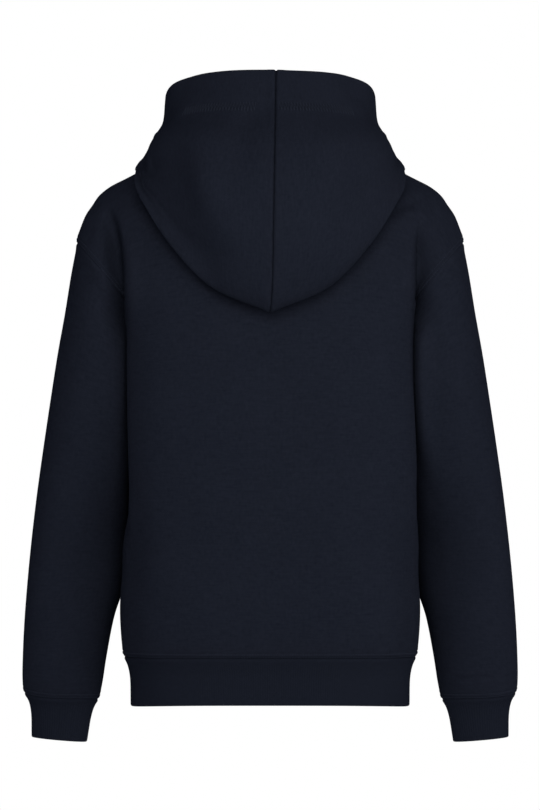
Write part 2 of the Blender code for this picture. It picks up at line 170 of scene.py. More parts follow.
@dataclass
class Cloth:
    """One cut piece: its outer face as a grid of points, rows by columns, in metres.

    The direction of the rows crossed with that of the columns points outwards.
    """

    name: str
    grid: np.ndarray
    closed: bool
    wall: float
    slot: Slot
    cut: tuple[float, float, float]
    hangs_from: tuple[str, ...]
    free: tuple[Edge, ...] = ()

    def ring(self, values: np.ndarray) -> np.ndarray:
        """The values with the first column repeated at the end where the columns go once round."""
        return np.concatenate([values, values[:, :1]], axis=1) if self.closed else values

    def normals(self) -> np.ndarray:
        """Unit normals: the mean of the faces round each point, weighed by their angles there."""
        grid = self.ring(self.grid)
        low, high = slice(None, -1), slice(1, None)
        places = [(low, low), (high, low), (high, high), (low, high)]
        corners = [grid[place] for place in places]
        normal = unit(np.cross(corners[1] - corners[3], corners[2] - corners[0]))
        total = np.zeros_like(grid)
        for i, place in enumerate(places):
            ahead = unit(corners[(i + 1) % 4] - corners[i])
            behind = unit(corners[i - 1] - corners[i])
            cosine = np.sum(ahead * behind, axis=-1, keepdims=True)
            total[place] += np.arccos(np.clip(cosine, -1.0, 1.0)) * normal
        if self.closed:
            total[:, 0] += total[:, -1]
            total = total[:, :-1]
        return unit(total)

    def from_edge(self, edge: Edge) -> np.ndarray:
        """Distance of every point from an edge, in metres, measured in the cloth along the grid's lines."""
        axis, end = edge.value
        steps = np.linalg.norm(np.diff(self.grid, axis=axis), axis=-1)
        steps = steps if end == 0 else np.flip(steps, axis=axis)
        total = np.cumsum(steps, axis=axis)
        zero = np.zeros_like(np.take(total, [0], axis=axis))
        total = np.concatenate([zero, total], axis=axis)
        return total if end == 0 else np.flip(total, axis=axis)

    def inwards(self) -> np.ndarray:
        """Unit vectors at the edges, pointing into the piece along its face; zero elsewhere."""
        found = np.zeros_like(self.grid)
        for near, far in ((0, 1), (-1, -2)):
            found[near] += unit(self.grid[far] - self.grid[near])
            if not self.closed:
                found[:, near] += unit(self.grid[:, far] - self.grid[:, near])
        return unit(found)

    def chart(self) -> np.ndarray:
        """UV of every point in metres, round the garment and up it, with one more column if it is closed."""
        grid = self.ring(self.grid)
        across = np.concatenate([np.zeros_like(grid[:, :1, 0]),
                                 np.cumsum(np.linalg.norm(np.diff(grid, axis=1), axis=-1), axis=1)], axis=1)
        along = np.concatenate([np.zeros_like(grid[:1, :, 0]),
                                np.cumsum(np.linalg.norm(np.diff(grid, axis=0), axis=-1), axis=0)], axis=0)
        middle = across.shape[1] // 2
        across = across - across[:, middle:middle + 1]
        return np.stack([across, np.broadcast_to(along[:, middle:middle + 1], across.shape)], axis=-1)


class Seams:
    """Knows which points of which pieces are sewn together: those that lie in one place before any relief."""

    TOLERANCE = 0.02 * MM
    THICKEST = 1.6
    STIFFNESS = 0.05

    def __init__(self, pieces: Sequence[Cloth]) -> None:
        """Finds the shared points of the pieces."""
        self.pieces = list(pieces)
        points = np.concatenate([piece.grid.reshape(-1, 3) for piece in pieces])
        keys = np.round(points / self.TOLERANCE).astype(np.int64)
        _, place = np.unique(keys, axis=0, return_inverse=True)
        self.place = place.reshape(-1)
        self.cuts = np.cumsum([piece.grid.shape[0] * piece.grid.shape[1] for piece in pieces])[:-1]
        count = np.bincount(self.place)[self.place].astype(float)
        self.counts = [part.reshape(*piece.grid.shape[:2], 1)
                       for part, piece in zip(np.split(count, self.cuts), pieces)]

    def total(self, values: Sequence[np.ndarray]) -> list[np.ndarray]:
        """Sums values, one grid for each piece, over all the pieces that share each point."""
        width = values[0].shape[-1]
        flat = np.concatenate([value.reshape(-1, width) for value in values])
        summed = np.zeros((self.place.max() + 1, width))
        np.add.at(summed, self.place, flat)
        return [part.reshape(value.shape) for part,
                value in zip(np.split(summed[self.place], self.cuts), values)]

    def mean(self, values: Sequence[np.ndarray]) -> list[np.ndarray]:
        """Averages values over all the pieces that share each point, so that seams stay closed."""
        return [total / count for total, count in zip(self.total(values), self.counts)]

    def normals(self) -> list[np.ndarray]:
        """Normals that sewn pieces share at their seams."""
        return [unit(total) for total in self.total([piece.normals() for piece in self.pieces])]

    def wall_steps(self) -> list[np.ndarray]:
        """Step from the outer face to the inner one, for a wall of thickness one.

        Away from seams it is minus the normal. At a seam it is the least-squares step that goes equally far
        behind the face of every piece there, at most THICKEST long.
        """
        normals = [piece.normals() for piece in self.pieces]
        rows = [self.total([normal * normal[..., [i]] for normal in normals]) for i in range(3)]
        steps = []
        for total, count, *spans in zip(self.total(normals), self.counts, *rows):
            square = np.stack(spans, axis=-2) + self.STIFFNESS * np.eye(3)
            step = -np.linalg.solve(square, total[..., None])[..., 0]
            lean = -np.sum(step * total, axis=-1, keepdims=True) / count
            steps.append(step / np.maximum(lean, length(step) / self.THICKEST))
        return steps


@dataclass(frozen=True)
class Crease:
    """A soft ridge or trough along a short line given on a piece's chart, in millimetres.

    Height = rise * exp(-(distance / width)^power) * fade. A power of 2 gives a soft form and 1 a sharp fold.
    The fade is a smooth step up over the first share of the line and down over the last, both given in reach.
    The width may differ on the left of the line, as seen along it with the chart's second axis up.
    """

    path: tuple[tuple[float, float], ...]
    rise: float
    width: float
    width_left: Optional[float] = None
    power: float = 2.0
    reach: tuple[float, float] = (0.35, 0.35)

    def height(self, chart: np.ndarray) -> np.ndarray:
        """Height in millimetres at every point of a chart (rows, columns, 2)."""
        keys = np.array([(*point, 0.0) for point in self.path])
        at = np.linspace(0.0, len(keys) - 1, 6 * (len(keys) - 1) + 1)
        line = smooth(keys, at, straight_ends(keys))[:, :2]
        run = run_along(line)
        best = np.full(chart.shape[:2], np.inf)
        share = np.zeros(chart.shape[:2])
        width = np.full(chart.shape[:2], self.width)
        for i in range(len(line) - 1):
            step = line[i + 1] - line[i]
            t = np.clip(((chart - line[i]) @ step) / (step @ step), 0.0, 1.0)
            away = chart - (line[i] + t[..., None] * step)
            distance = np.linalg.norm(away, axis=-1)
            nearer = distance < best
            best = np.where(nearer, distance, best)
            share = np.where(nearer, (run[i] + t * (run[i + 1] - run[i])) / run[-1], share)
            left = step[0] * away[..., 1] - step[1] * away[..., 0] > 0
            width = np.where(nearer & left, self.width_left or self.width,
                             np.where(nearer, self.width, width))
        first = smoothstep(np.clip(share / self.reach[0], 0.0, 1.0))
        last = smoothstep(np.clip((1 - share) / self.reach[1], 0.0, 1.0))
        return self.rise * np.exp(-(best / width) ** self.power) * first * last


def both_sides(path: tuple, rise: float, width: float, reach: tuple[float, float]) -> tuple[Crease, Crease]:
    """A crease on the left and its mirror image on the right."""
    return tuple(Crease(tuple((side * x, z) for x, z in path), rise, width, reach=reach) for side in (1, -1))


@dataclass(frozen=True)
class SeamRelief:
    """What a seam does to the cloth beside it: a groove, and a puffed strip of allowance next to it.

    Height = -depth * groove + lift * (1 - groove) * falloff, where groove = exp(-(d / width)^2) and falloff
    is a soft step down at the allowance. Every row of topstitching presses the cloth in by press, as a soft
    trough about press_width wide on each side.
    """

    depth: float = 1.0
    width: float = 1.3
    lift: float = 0.0
    allowance: float = 9.0
    rows: tuple[float, ...] = ()
    press: float = 0.35
    press_width: float = 1.1

    def height(self, metres: np.ndarray) -> np.ndarray:
        """Height in millimetres at distances from the seam, given in metres."""
        d = metres / MM
        groove = np.exp(-(d / self.width) ** 2)
        falloff = 1 / (1 + np.exp(np.clip((d - self.allowance) / 1.2, -40.0, 40.0)))
        height = -self.depth * groove + self.lift * (1 - groove) * falloff
        for row in self.rows:
            height = height - self.press * np.exp(-((d - row) / self.press_width) ** 2)
        return height


# ---- Shader maths ----

class Signal:
    """A shader socket that takes part in Python expressions; each operator adds a Math node."""

    def __init__(self, shader: "Shader", socket: bpy.types.NodeSocket) -> None:
        """Wraps an output socket of the shader's tree."""
        self.shader = shader
        self.socket = socket

    def math(self, operation: str, *others: "Signal | float") -> "Signal":
        """Adds a Math node on this signal and the others."""
        values = {i: value for i, value in enumerate((self, *others))}
        return self.shader.node("ShaderNodeMath", {"operation": operation}, values).out()

    def __add__(self, other: "Signal | float") -> "Signal":
        """Sum."""
        return self.math("ADD", other)

    __radd__ = __add__

    def __mul__(self, other: "Signal | float") -> "Signal":
        """Product."""
        return self.math("MULTIPLY", other)

    __rmul__ = __mul__

    def sine(self) -> "Signal":
        """Sine of the signal in radians."""
        return self.math("SINE")

    def absolute(self) -> "Signal":
        """Absolute value."""
        return self.math("ABSOLUTE")

    def rescaled(self, low: float, high: float, to_low: float, to_high: float) -> "Signal":
        """The signal's span low to high brought to to_low to to_high, and held at the ends."""
        return self.shader.node("ShaderNodeMapRange", {"clamp": True}, {
            "Value": self, "From Min": low, "From Max": high, "To Min": to_low, "To Max": to_high}).out()


class Made:
    """A node that was just added, ready to hand out its outputs."""

    def __init__(self, shader: "Shader", node: bpy.types.Node) -> None:
        """Keeps the node."""
        self.shader = shader
        self.node = node

    def out(self, name: "str | int" = 0) -> Signal:
        """One of the node's outputs as a signal."""
        return Signal(self.shader, self.node.outputs[name])


class Shader:
    """The node tree of one material."""

    def __init__(self, name: str) -> None:
        """Makes an empty material with a Principled BSDF."""
        self.material = bpy.data.materials.new(name)
        self.material.use_nodes = True
        self.tree = self.material.node_tree
        self.surface = self.tree.nodes["Principled BSDF"]

    def node(self, kind: str, settings: Optional[dict] = None, values: Optional[dict] = None) -> Made:
        """Adds a node.

        Args:
            kind: the node's type.
            settings: properties, set first.
            values: numbers, tuples or signals for its input sockets, by name or number.

        Returns:
            The node, ready to hand out its outputs.
        """
        node = self.tree.nodes.new(kind)
        for key, value in (settings or {}).items():
            setattr(node, key, value)
        for key, value in (values or {}).items():
            if isinstance(value, Signal):
                self.tree.links.new(value.socket, node.inputs[key])
            else:
                node.inputs[key].default_value = value
        return Made(self, node)

    def mix(self, factor: "Signal | float", first: tuple, second: tuple) -> Signal:
        """Mixes two colours."""
        made = self.node("ShaderNodeMix", {"data_type": "RGBA"})
        values = {"Factor_Float": factor, "A_Color": first, "B_Color": second}
        for key, value in values.items():
            socket = next(s for s in made.node.inputs if s.identifier == key)
            if isinstance(value, Signal):
                self.tree.links.new(value.socket, socket)
            else:
                socket.default_value = value
        return Signal(self, next(s for s in made.node.outputs if s.identifier == "Result_Color"))

    def uv(self) -> tuple[Signal, Signal, Signal]:
        """The piece's own UV in metres: the vector, across and along."""
        vector = self.node("ShaderNodeUVMap", {"uv_map": "cloth"}).out()
        parts = self.node("ShaderNodeSeparateXYZ", None, {"Vector": vector})
        return vector, parts.out("X"), parts.out("Y")

    def place(self) -> Signal:
        """Object coordinates."""
        return self.node("ShaderNodeTexCoord").out("Object")

    def noise(self, vector: Signal, size: float, detail: float = 2.0, roughness: float = 0.55) -> Signal:
        """Noise whose features are about size metres wide, 0 to 1."""
        return self.node("ShaderNodeTexNoise", None, {
            "Vector": vector, "Scale": 1.0 / size, "Detail": detail, "Roughness": roughness}).out(0)

    def stretched(self, vector: Signal, scale: tuple[float, float, float]) -> Signal:
        """The vector scaled along its axes."""
        return self.node("ShaderNodeMapping", None, {"Vector": vector, "Scale": scale}).out()

    def bump(self, height: Signal, distance: float, strength: float = 1.0) -> Signal:
        """A normal bent by a height, 0 to 1, that stands for distance metres."""
        return self.node("ShaderNodeBump", None, {
            "Height": height, "Distance": distance, "Strength": strength}).out("Normal")

    def finish(self, colour: "Signal | tuple", roughness: "Signal | float", normal: Optional[Signal],
               fixed: dict[str, float | tuple]) -> bpy.types.Material:
        """Joins the looks to the surface: what varies by links, what is the same all over on its socket."""
        for name, value in (("Base Color", colour), ("Roughness", roughness), ("Normal", normal)):
            if isinstance(value, Signal):
                self.tree.links.new(value.socket, self.surface.inputs[name])
            elif value is not None:
                self.surface.inputs[name].default_value = value
        for name, value in fixed.items():
            self.surface.inputs[name].default_value = value
        return self.material


THREAD_SHEEN = {"Metallic": 0.0, "Specular IOR Level": 0.0, "Sheen Weight": 0.003, "Sheen Roughness": 0.5}
KNIT_SHEEN = {**THREAD_SHEEN, "Sheen Roughness": 0.45, "Sheen Tint": (0.55, 0.62, 0.85, 1.0)}


@dataclass(frozen=True)
class FleeceFinish:
    """Brushed fleece jersey: a dark smooth knit face with a soft nap, slightly mottled."""

    deep: tuple[float, float, float, float] = (0.0070, 0.0083, 0.0128, 1.0)
    pale: tuple[float, float, float, float] = (0.0130, 0.0153, 0.0232, 1.0)
    wale: float = 0.95 * MM
    course: float = 0.75 * MM
    mottle: float = 3.2 * MM
    cloud: float = 38 * MM
    streak: float = 1.9 * MM
    fibre: float = 0.55 * MM
    relief: float = 0.16 * MM
    roughness: float = 0.88

    def material(self) -> bpy.types.Material:
        """Knit wales and courses on the UV map, mottled by three sizes of noise."""
        shader = Shader("navy_brushed_fleece")
        vector, across, along = shader.uv()
        fibre = shader.noise(vector, self.fibre, 3.0, 0.7)
        mottle = shader.noise(shader.stretched(vector, (1.0, 0.7, 1.0)), self.mottle, 3.0, 0.6)
        cloud = shader.noise(shader.place(), self.cloud, 2.0, 0.5)
        streak = shader.noise(shader.stretched(vector, (0.14, 1.0, 1.0)), self.streak, 2.0, 0.6)
        wales = (across * (2 * math.pi / self.wale)).sine() * 0.5 + 0.5
        courses = ((along * (2 * math.pi / self.course)) + (wales * 2.6)).sine() * 0.5 + 0.5
        tone = (fibre * 0.26) + (mottle * 0.38) + (streak * 0.32) + (cloud * 0.08) + (wales * courses * 0.10)
        colour = shader.mix(tone.rescaled(0.36, 0.74, 0.0, 1.0), self.deep, self.pale)
        height = (wales * 0.30) + (courses * 0.20) + (fibre * 0.55) + (mottle * 0.30)
        normal = shader.bump(height, self.relief)
        rough = fibre.rescaled(0.3, 0.7, self.roughness - 0.05, self.roughness + 0.07)
        return shader.finish(colour, rough, normal, KNIT_SHEEN)


@dataclass(frozen=True)
class RibFinish:
    """Rib knit: upright wales of small chevrons, darker between the ribs."""

    deep: tuple[float, float, float, float] = (0.0070, 0.0084, 0.0130, 1.0)
    pale: tuple[float, float, float, float] = (0.0112, 0.0134, 0.0204, 1.0)
    wale: float = 1.35 * MM
    stitch: float = 1.1 * MM
    mottle: float = 4.0 * MM
    fibre: float = 0.5 * MM
    relief: float = 0.14 * MM
    roughness: float = 0.86

    def material(self) -> bpy.types.Material:
        """Chevrons on the UV map, mottled by noise."""
        shader = Shader("navy_rib_knit")
        vector, across, along = shader.uv()
        fibre = shader.noise(vector, self.fibre, 3.0, 0.7)
        mottle = shader.noise(vector, self.mottle, 3.0, 0.6)
        wales = (across * (2 * math.pi / self.wale)).sine()
        chevron = ((along * (2 * math.pi / self.stitch)) + (wales.absolute() * 2.4)).sine() * 0.5 + 0.5
        tone = (fibre * 0.36) + (mottle * 0.40) + (chevron * 0.20)
        colour = shader.mix(tone.rescaled(0.28, 0.74, 0.0, 1.0), self.deep, self.pale)
        height = (wales.absolute() * 0.35) + (chevron * 0.30) + (fibre * 0.45)
        rough = fibre.rescaled(0.3, 0.7, self.roughness - 0.05, self.roughness + 0.07)
        return shader.finish(colour, rough, shader.bump(height, self.relief), KNIT_SHEEN)


@dataclass(frozen=True)
class ThreadFinish:
    """Spun polyester sewing thread, a shade paler than the cloth and twisted."""

    name: str = "navy_thread"
    deep: tuple[float, float, float, float] = (0.0140, 0.0164, 0.0246, 1.0)
    pale: tuple[float, float, float, float] = (0.0212, 0.0246, 0.0366, 1.0)
    twist: float = 0.35 * MM
    relief: float = 0.05 * MM
    roughness: float = 0.62

    def material(self) -> bpy.types.Material:
        """Fine noise for the twist."""
        shader = Shader(self.name)
        grain = shader.noise(shader.place(), self.twist, 2.0, 0.6)
        colour = shader.mix(grain.rescaled(0.35, 0.65, 0.0, 1.0), self.deep, self.pale)
        rough = grain.rescaled(0.35, 0.65, self.roughness + 0.08, self.roughness - 0.08)
        return shader.finish(colour, rough, shader.bump(grain, self.relief), THREAD_SHEEN)


# ---- The cut: tables of sizes, in millimetres ----

@dataclass(frozen=True)
class Level:
    """One level section of the body."""

    z: float
    back: float          # depth of the back from the side seams
    front: float
    corner_x: float      # where the draped cloth turns from the back to the side
    side_x: float        # at the side seam, pressed in where the sleeve hangs
    dip: float = 0.0     # how far the line sags between the centre and the side seam
    rise: float = 0.0    # how far it rises towards the centre back and front


@dataclass(frozen=True)
class YokeRow:
    """One section above the underarm: (x, y, z) of its stations, y counted outwards from the side seam."""

    centre: tuple[float, float, float]
    blade: tuple[float, float, float]
    round: tuple[float, float, float]
    corner: tuple[float, float, float]
    hollow: tuple[float, float, float]


@dataclass(frozen=True)
class Ring:
    """One section of a sleeve or cuff: outer and inner points (x, z), half depth, and the y of its middle."""

    outer_x: float
    outer_z: float
    inner_x: float
    inner_z: float
    depth: float
    y: float
    shift: float = 0.0   # how far behind the middle its inner point lies
    blunt: float = 0.0   # 0 where the inner side is round, towards 1 where it lies flat against the body
    sag: float = 0.0     # how far the back and front hang below the line from outer to inner point

    def points(self, turn: np.ndarray, outward: float = 1.0) -> np.ndarray:
        """Points at angles turn: 0 at the outer point, pi at the inner one, over the back if outward is +1.

        y = middle + shift * inside + depth * sin(turn) ^ (1 - blunt * inside), inside = (1 - cos(turn)) / 2.
        """
        outer, inner = np.array([self.outer_x, self.outer_z]), np.array([self.inner_x, self.inner_z])
        flat = (outer + inner) / 2 + np.cos(turn)[:, None] * (outer - inner) / 2
        inside = (1 - np.cos(turn)) / 2
        side = np.sin(turn)
        bulge = np.sign(side) * np.abs(side) ** (1 - self.blunt * inside)
        y = self.y + self.shift * inside + outward * bulge * self.depth
        return np.stack([flat[:, 0], y, flat[:, 1] - self.sag * np.abs(side) * (1 - inside)], axis=1)


@dataclass(frozen=True)
class HoodSection:
    """One upright section of the hood round the neck axis: radius and height of its main points."""

    azimuth: float
    fold_r: float
    fold_z: float
    full_r: float
    full_z: float
    casing_r: float
    casing_z: float
    rim_r: float
    rim_z: float
    roll: float = 10.0   # how far the cloth rounds out beyond its fold


@dataclass(frozen=True)
class Sampling:
    """How finely the faces are divided; more finely beside the seams."""

    neck: np.ndarray = field(default_factory=lambda: crowded(40, first=9.0, reach=0.02))
    beside: tuple[int, ...] = (9, 12, 16)
    side: np.ndarray = field(default_factory=lambda: crowded(26, last=5.0, reach=0.10))
    body: np.ndarray = field(default_factory=lambda: crowded(92, first=9.0, reach=0.012))
    yoke: np.ndarray = field(default_factory=lambda: crowded(72, last=1.5, reach=0.03))
    sleeve: np.ndarray = field(default_factory=lambda: crowded(150, first=4.0, last=4.0, reach=0.012))
    hood: tuple[int, ...] = (4, 4, 4, 14, 14, 6, 6, 9, 14, 16, 16, 18)

    def across(self) -> np.ndarray:
        """Places across half a panel in gaps between its six stations."""
        parts = [self.neck[:-1]]
        parts += [1 + i + np.arange(count) / count for i, count in enumerate(self.beside)]
        return np.concatenate([*parts, 4 + self.side])

    def turns(self) -> np.ndarray:
        """Angles once round a sleeve, which meet the armhole's points."""
        back = math.pi * (1 - self.yoke[::-1])
        return np.concatenate([back, 2 * math.pi - back[-2:0:-1]])

    def profile(self) -> np.ndarray:
        """Places along a hood section in gaps between its key points."""
        return np.concatenate([*(i + np.arange(n) / n for i, n in enumerate(self.hood)), [len(self.hood)]])


@dataclass(frozen=True)
class Cut:
    """The whole form of the garment, worked out from its tables. All lengths in millimetres."""

    body: tuple[Level, ...] = (
        Level(-511, 97, 98, 141.0, 151.0, rise=1.0), Level(-490, 101, 102, 144.0, 153.3, rise=0.5),
        Level(-460, 102, 103, 145.5, 154.5), Level(-425, 101, 103, 143.5, 152.3),
        Level(-392, 100, 102, 140.5, 150.8), Level(-360, 100, 102, 142.5, 143.6),
        Level(-280, 100, 102, 145.5, 136.0), Level(-215, 99, 101, 146.5, 133.5, 3.0),
        Level(-178, 98, 100, 146.5, 133.0, 9.0), Level(-157, 97, 98, 147.0, 136.5, 15.0),
    )
    band: tuple[Level, ...] = (
        Level(-511, 97, 98, 141.0, 151.0, rise=1.0), Level(-519, 94, 95, 137.5, 147.0, rise=1.5),
        Level(-531, 91, 92, 135.0, 144.3, rise=2.5), Level(-560, 90, 91, 134.0, 143.5, rise=4.0),
    )
    dip_shares: tuple[float, ...] = (0.0, 0.1, 0.5, 0.9, 1.0, 0.0)
    blades: tuple[tuple[float, float], ...] = ((0.53, 0.965), (0.84, 0.80))   # shares of corner_x and depth
    hollow: tuple[float, float] = (0.28,
                                   0.62)   # shares of the way from side to corner, and of the corner's y
    corner_back: float = 48.0
    corner_front: float = 56.0
    yoke_back: tuple[YokeRow, ...] = (
        YokeRow((0, 93, -116), (79, 89, -117), (124, 78, -121), (147.5, 64.5, -128), (149.5, 56, -136.5)),
        YokeRow((0, 84, -78), (81, 77, -76), (122, 69, -82), (149, 62, -95), (158, 60, -109)),
        YokeRow((0, 69, -43), (83, 49, -26), (114, 47, -34), (145, 47, -51), (169, 46, -72)),
    )
    yoke_front: tuple[YokeRow, ...] = (
        YokeRow((0, 95, -130), (79, 90, -126), (123, 79, -126), (147, 65, -129), (149.5, 56, -137)),
        YokeRow((0, 91, -106), (81, 78, -90), (121, 69, -88), (147, 61, -97), (157, 60, -110)),
        YokeRow((0, 86, -84), (83, 49, -34), (113, 47, -38), (143, 47, -52), (168, 45, -72)),
    )
    shoulder: YokeRow = YokeRow((0, 0, 0), (82, 0, 6), (112, 0, -3), (140, 0, -15), (177, 0, -39))
    neck_width: float = 82.0
    neck_back: tuple[float, float] = (52.0, -12.0)
    neck_front: tuple[float, float] = (80.0, -62.0)
    neck_axis_y: float = -12.0
    neck_power: float = 1.6
    neck_lift: tuple[float, float] = (12.0, 20.0)   # slope of the cloth at the neck: out and up
    sleeve: tuple[Ring, ...] = (
        Ring(198.5, -86.0, 136.5, -157.0, 62.0, 0.0),
        Ring(204.8, -118.0, 142.5, -171.0, 54.5, -4.0, 4.0, 0.25),
        Ring(211.4, -158.0, 143.0, -195.0, 53.0, -7.0, 8.0, 0.38),
        Ring(219.0, -200.0, 143.0, -227.0, 52.5, -9.0, 10.0, 0.42),
        Ring(226.6, -248.0, 142.5, -263.0, 52.0, -12.0, 6.0, 0.42),
        Ring(234.0, -297.0, 142.5, -305.0, 51.5, -15.0, -4.0, 0.40),
        Ring(240.8, -345.0, 145.4, -349.0, 50.0, -18.0, -16.0, 0.35),
        Ring(246.5, -392.0, 148.2, -392.0, 48.0, -22.0, -28.0, 0.25),
        Ring(251.0, -437.0, 150.5, -435.0, 45.0, -25.0, -27.0, 0.15),
        Ring(254.2, -478.0, 161.5, -472.0, 42.0, -28.0, -12.0),
        Ring(255.9, -512.0, 169.2, -512.0, 38.5, -31.0, -4.0, 0.0, 1.0),
        Ring(256.3, -535.0, 173.2, -538.0, 34.5, -33.0, 0.0, 0.0, 3.0),
        Ring(255.2, -549.5, 177.0, -557.0, 30.0, -34.0, 0.0, 0.0, 5.0),
    )
    cuff: tuple[Ring, ...] = (
        Ring(255.2, -549.5, 177.0, -557.0, 30.0, -34.0, 0.0, 0.0, 5.0),
        Ring(250.0, -558.0, 181.5, -563.5, 25.5, -34.0, 0.0, 0.0, 4.0),
        Ring(247.4, -570.0, 185.0, -574.0, 22.5, -34.0, 0.0, 0.0, 2.5),
        Ring(246.8, -594.5, 189.4, -599.5, 21.5, -34.0),
    )
    hood: tuple[HoodSection, ...] = (
        HoodSection(0, 125, -159, 154, -55, 99, 51, 80, 88),
        HoodSection(24, 131, -137, 158, -48, 104, 50, 85, 87.5),
        HoodSection(42, 142, -96, 156, -34, 109, 48, 91, 86),
        HoodSection(59, 147.5, -45, 149, -16, 112, 44, 97.5, 82, 8.5),
        HoodSection(76, 138, -15, 131.5, 1, 110.5, 38, 106, 74, 5),
        HoodSection(90, 135.5, -11.5, 127, 6, 111.5, 36, 108, 63, 4),
        HoodSection(115, 121, -18, 117, 0, 108, 17, 104, 38, 4),
        HoodSection(140, 98, -39, 99, -22, 96, -8, 94, 6),
        HoodSection(162, 83, -53, 85, -42, 85, -32, 85, -22),
        HoodSection(180, 77, -59, 78, -56, 78, -53, 78, -50),
    )
    crest: tuple[tuple[float, float], ...] = ((2.5, 10.0), (9.0, 17.0), (17.0, 13.0))
    fold_turn: tuple[tuple[float, float], ...] = ((-0.9, 0.9), (0.0, 0.0), (1.0, 0.7))
    bellies: tuple[tuple[float, float], ...] = ((0.045, 0.035), (0.09, -0.05),
                                                (0.06, 0.07))   # inner, low, high
    hood_fade: float = 70.0
    last_row_before_yoke: float = 7 / 8
    sampling: Sampling = field(default_factory=Sampling)

    def level_rows(self, levels: Sequence[Level], outward: float) -> np.ndarray:
        """Stations (levels, 6, 3) from centre line to side seam; outward is +1 at the back, -1 before."""
        rows = []
        for level in levels:
            depth, corner_y = (level.back, self.corner_back) if outward > 0 else (level.front,
                                                                                  self.corner_front)
            hollow_x = level.side_x + self.hollow[0] * (level.corner_x - level.side_x)
            row = np.array([
                (0.0, outward * depth, level.z),
                *((x * level.corner_x, outward * y * depth, level.z) for x, y in self.blades),
                (level.corner_x, outward * corner_y, level.z),
                (hollow_x, outward * self.hollow[1] * corner_y, level.z),
                (level.side_x, 0.0, level.z),
            ])
            row[:, 2] += level.rise * (row[:, 1] / depth) ** 2 - level.dip * np.array(self.dip_shares)
            rows.append(row)
        return np.array(rows)

    def neckline(self, share: np.ndarray, outward: float) -> np.ndarray:
        """Points of the neckline, an arc in plan, from share 0 at its centre to 1 at the shoulder seam."""
        depth, drop = self.neck_back if outward > 0 else self.neck_front
        turn = share * math.pi / 2
        _, side_y, high_z = self.shoulder.blade
        y = side_y + (depth - side_y) * np.cos(turn)
        z = high_z + (drop - high_z) * np.abs(np.cos(turn)) ** self.neck_power
        return np.stack([self.neck_width * np.sin(turn), outward * y, z], axis=1)

    def shoulder_seam(self) -> np.ndarray:
        """Points of the shoulder seam from the shoulder high point to the top of the armhole."""
        top = self.sleeve[0].points(np.zeros(1))
        keys = np.concatenate([np.array(astuple(self.shoulder)[1:], dtype=float), top])
        past_top = self.sleeve[1].points(np.zeros(1))[0] * np.array([1.0, 0.0, 1.0])
        at = self.sampling.across()
        return smooth(keys, at[at >= 1] - 1, (2 * keys[0] - keys[1], past_top))

    def half_panel(self, outward: float) -> np.ndarray:
        """Half a body panel: rows from the hem seam up, columns from the centre line to the side."""
        yoke, beyond = (self.yoke_back, self.yoke_front) if outward > 0 else (self.yoke_front, self.yoke_back)
        turn = np.array([1.0, outward, 1.0])
        levels = self.level_rows(self.body, outward)
        shares, yoke_shares = self.sampling.body, self.sampling.yoke
        lower = spread(levels[:, :5], shares)
        before = spread(levels[:, :5], np.array([self.last_row_before_yoke]))[0]
        upper = [np.array(astuple(row), dtype=float) * turn for row in yoke]
        top = np.array(astuple(self.shoulder), dtype=float) * turn
        top[0] = self.neckline(np.zeros(1), outward)[0]
        past_top = np.array(astuple(beyond[-1]), dtype=float) * turn * np.array([1.0, -1.0, 1.0])
        past_top[0] = top[0] + np.array([0.0, outward * self.neck_lift[0], self.neck_lift[1]])
        keys = np.moveaxis(np.array([lower[-1], *upper, top]), 0, -2)
        raised = smooth(keys, 4 * yoke_shares[1:], (before, past_top))
        columns = np.concatenate([lower, np.moveaxis(raised, -2, 0)])

        hole = math.pi * (1 - yoke_shares[1:])
        edge = np.concatenate([spread(levels[:, 5], shares), self.sleeve[0].points(hole, outward)])
        past_side = spread(self.level_rows(self.body, -outward)[:, 4], shares)
        past_edge = np.concatenate([past_side, self.sleeve[1].points(hole, outward)])
        keys = np.concatenate([columns, edge[:, None]], axis=1)
        at = self.sampling.across()
        grid = smooth(keys, at, (flip(keys[:, 1]), past_edge))

        seam = np.concatenate([self.neckline(at[at < 1], outward), self.shoulder_seam()])
        pull = np.concatenate([np.zeros(len(shares) - 1), yoke_shares ** 3])
        return grid + pull[:, None, None] * (seam - grid[-1])

    def panel(self, outward: float) -> np.ndarray:
        """A whole body panel, from one side to the other."""
        left = self.half_panel(outward)
        return np.concatenate([flip(left)[:, :0:-1], left], axis=1)

    def tube(self, rings: Sequence[Ring], rows: np.ndarray) -> np.ndarray:
        """A sleeve or cuff: rows down the arm, columns once round from the outer point over the back."""
        turns = self.sampling.turns()
        return spread(np.array([ring.points(turns) for ring in rings]), rows)

    def hem_band(self, rows: np.ndarray) -> np.ndarray:
        """The hem band: rows down, columns once round from the centre back over the left side."""
        halves = []
        for outward in (1.0, -1.0):
            keys = self.level_rows(self.band, outward)
            past_side = self.level_rows(self.band, -outward)[:, 4]
            halves.append(smooth(keys, self.sampling.across(), (flip(keys[:, 1]), past_side)))
        left = np.concatenate([halves[0], halves[1][:, -2::-1]], axis=1)
        return spread(np.concatenate([left, flip(left)[:, -2:0:-1]], axis=1), rows)

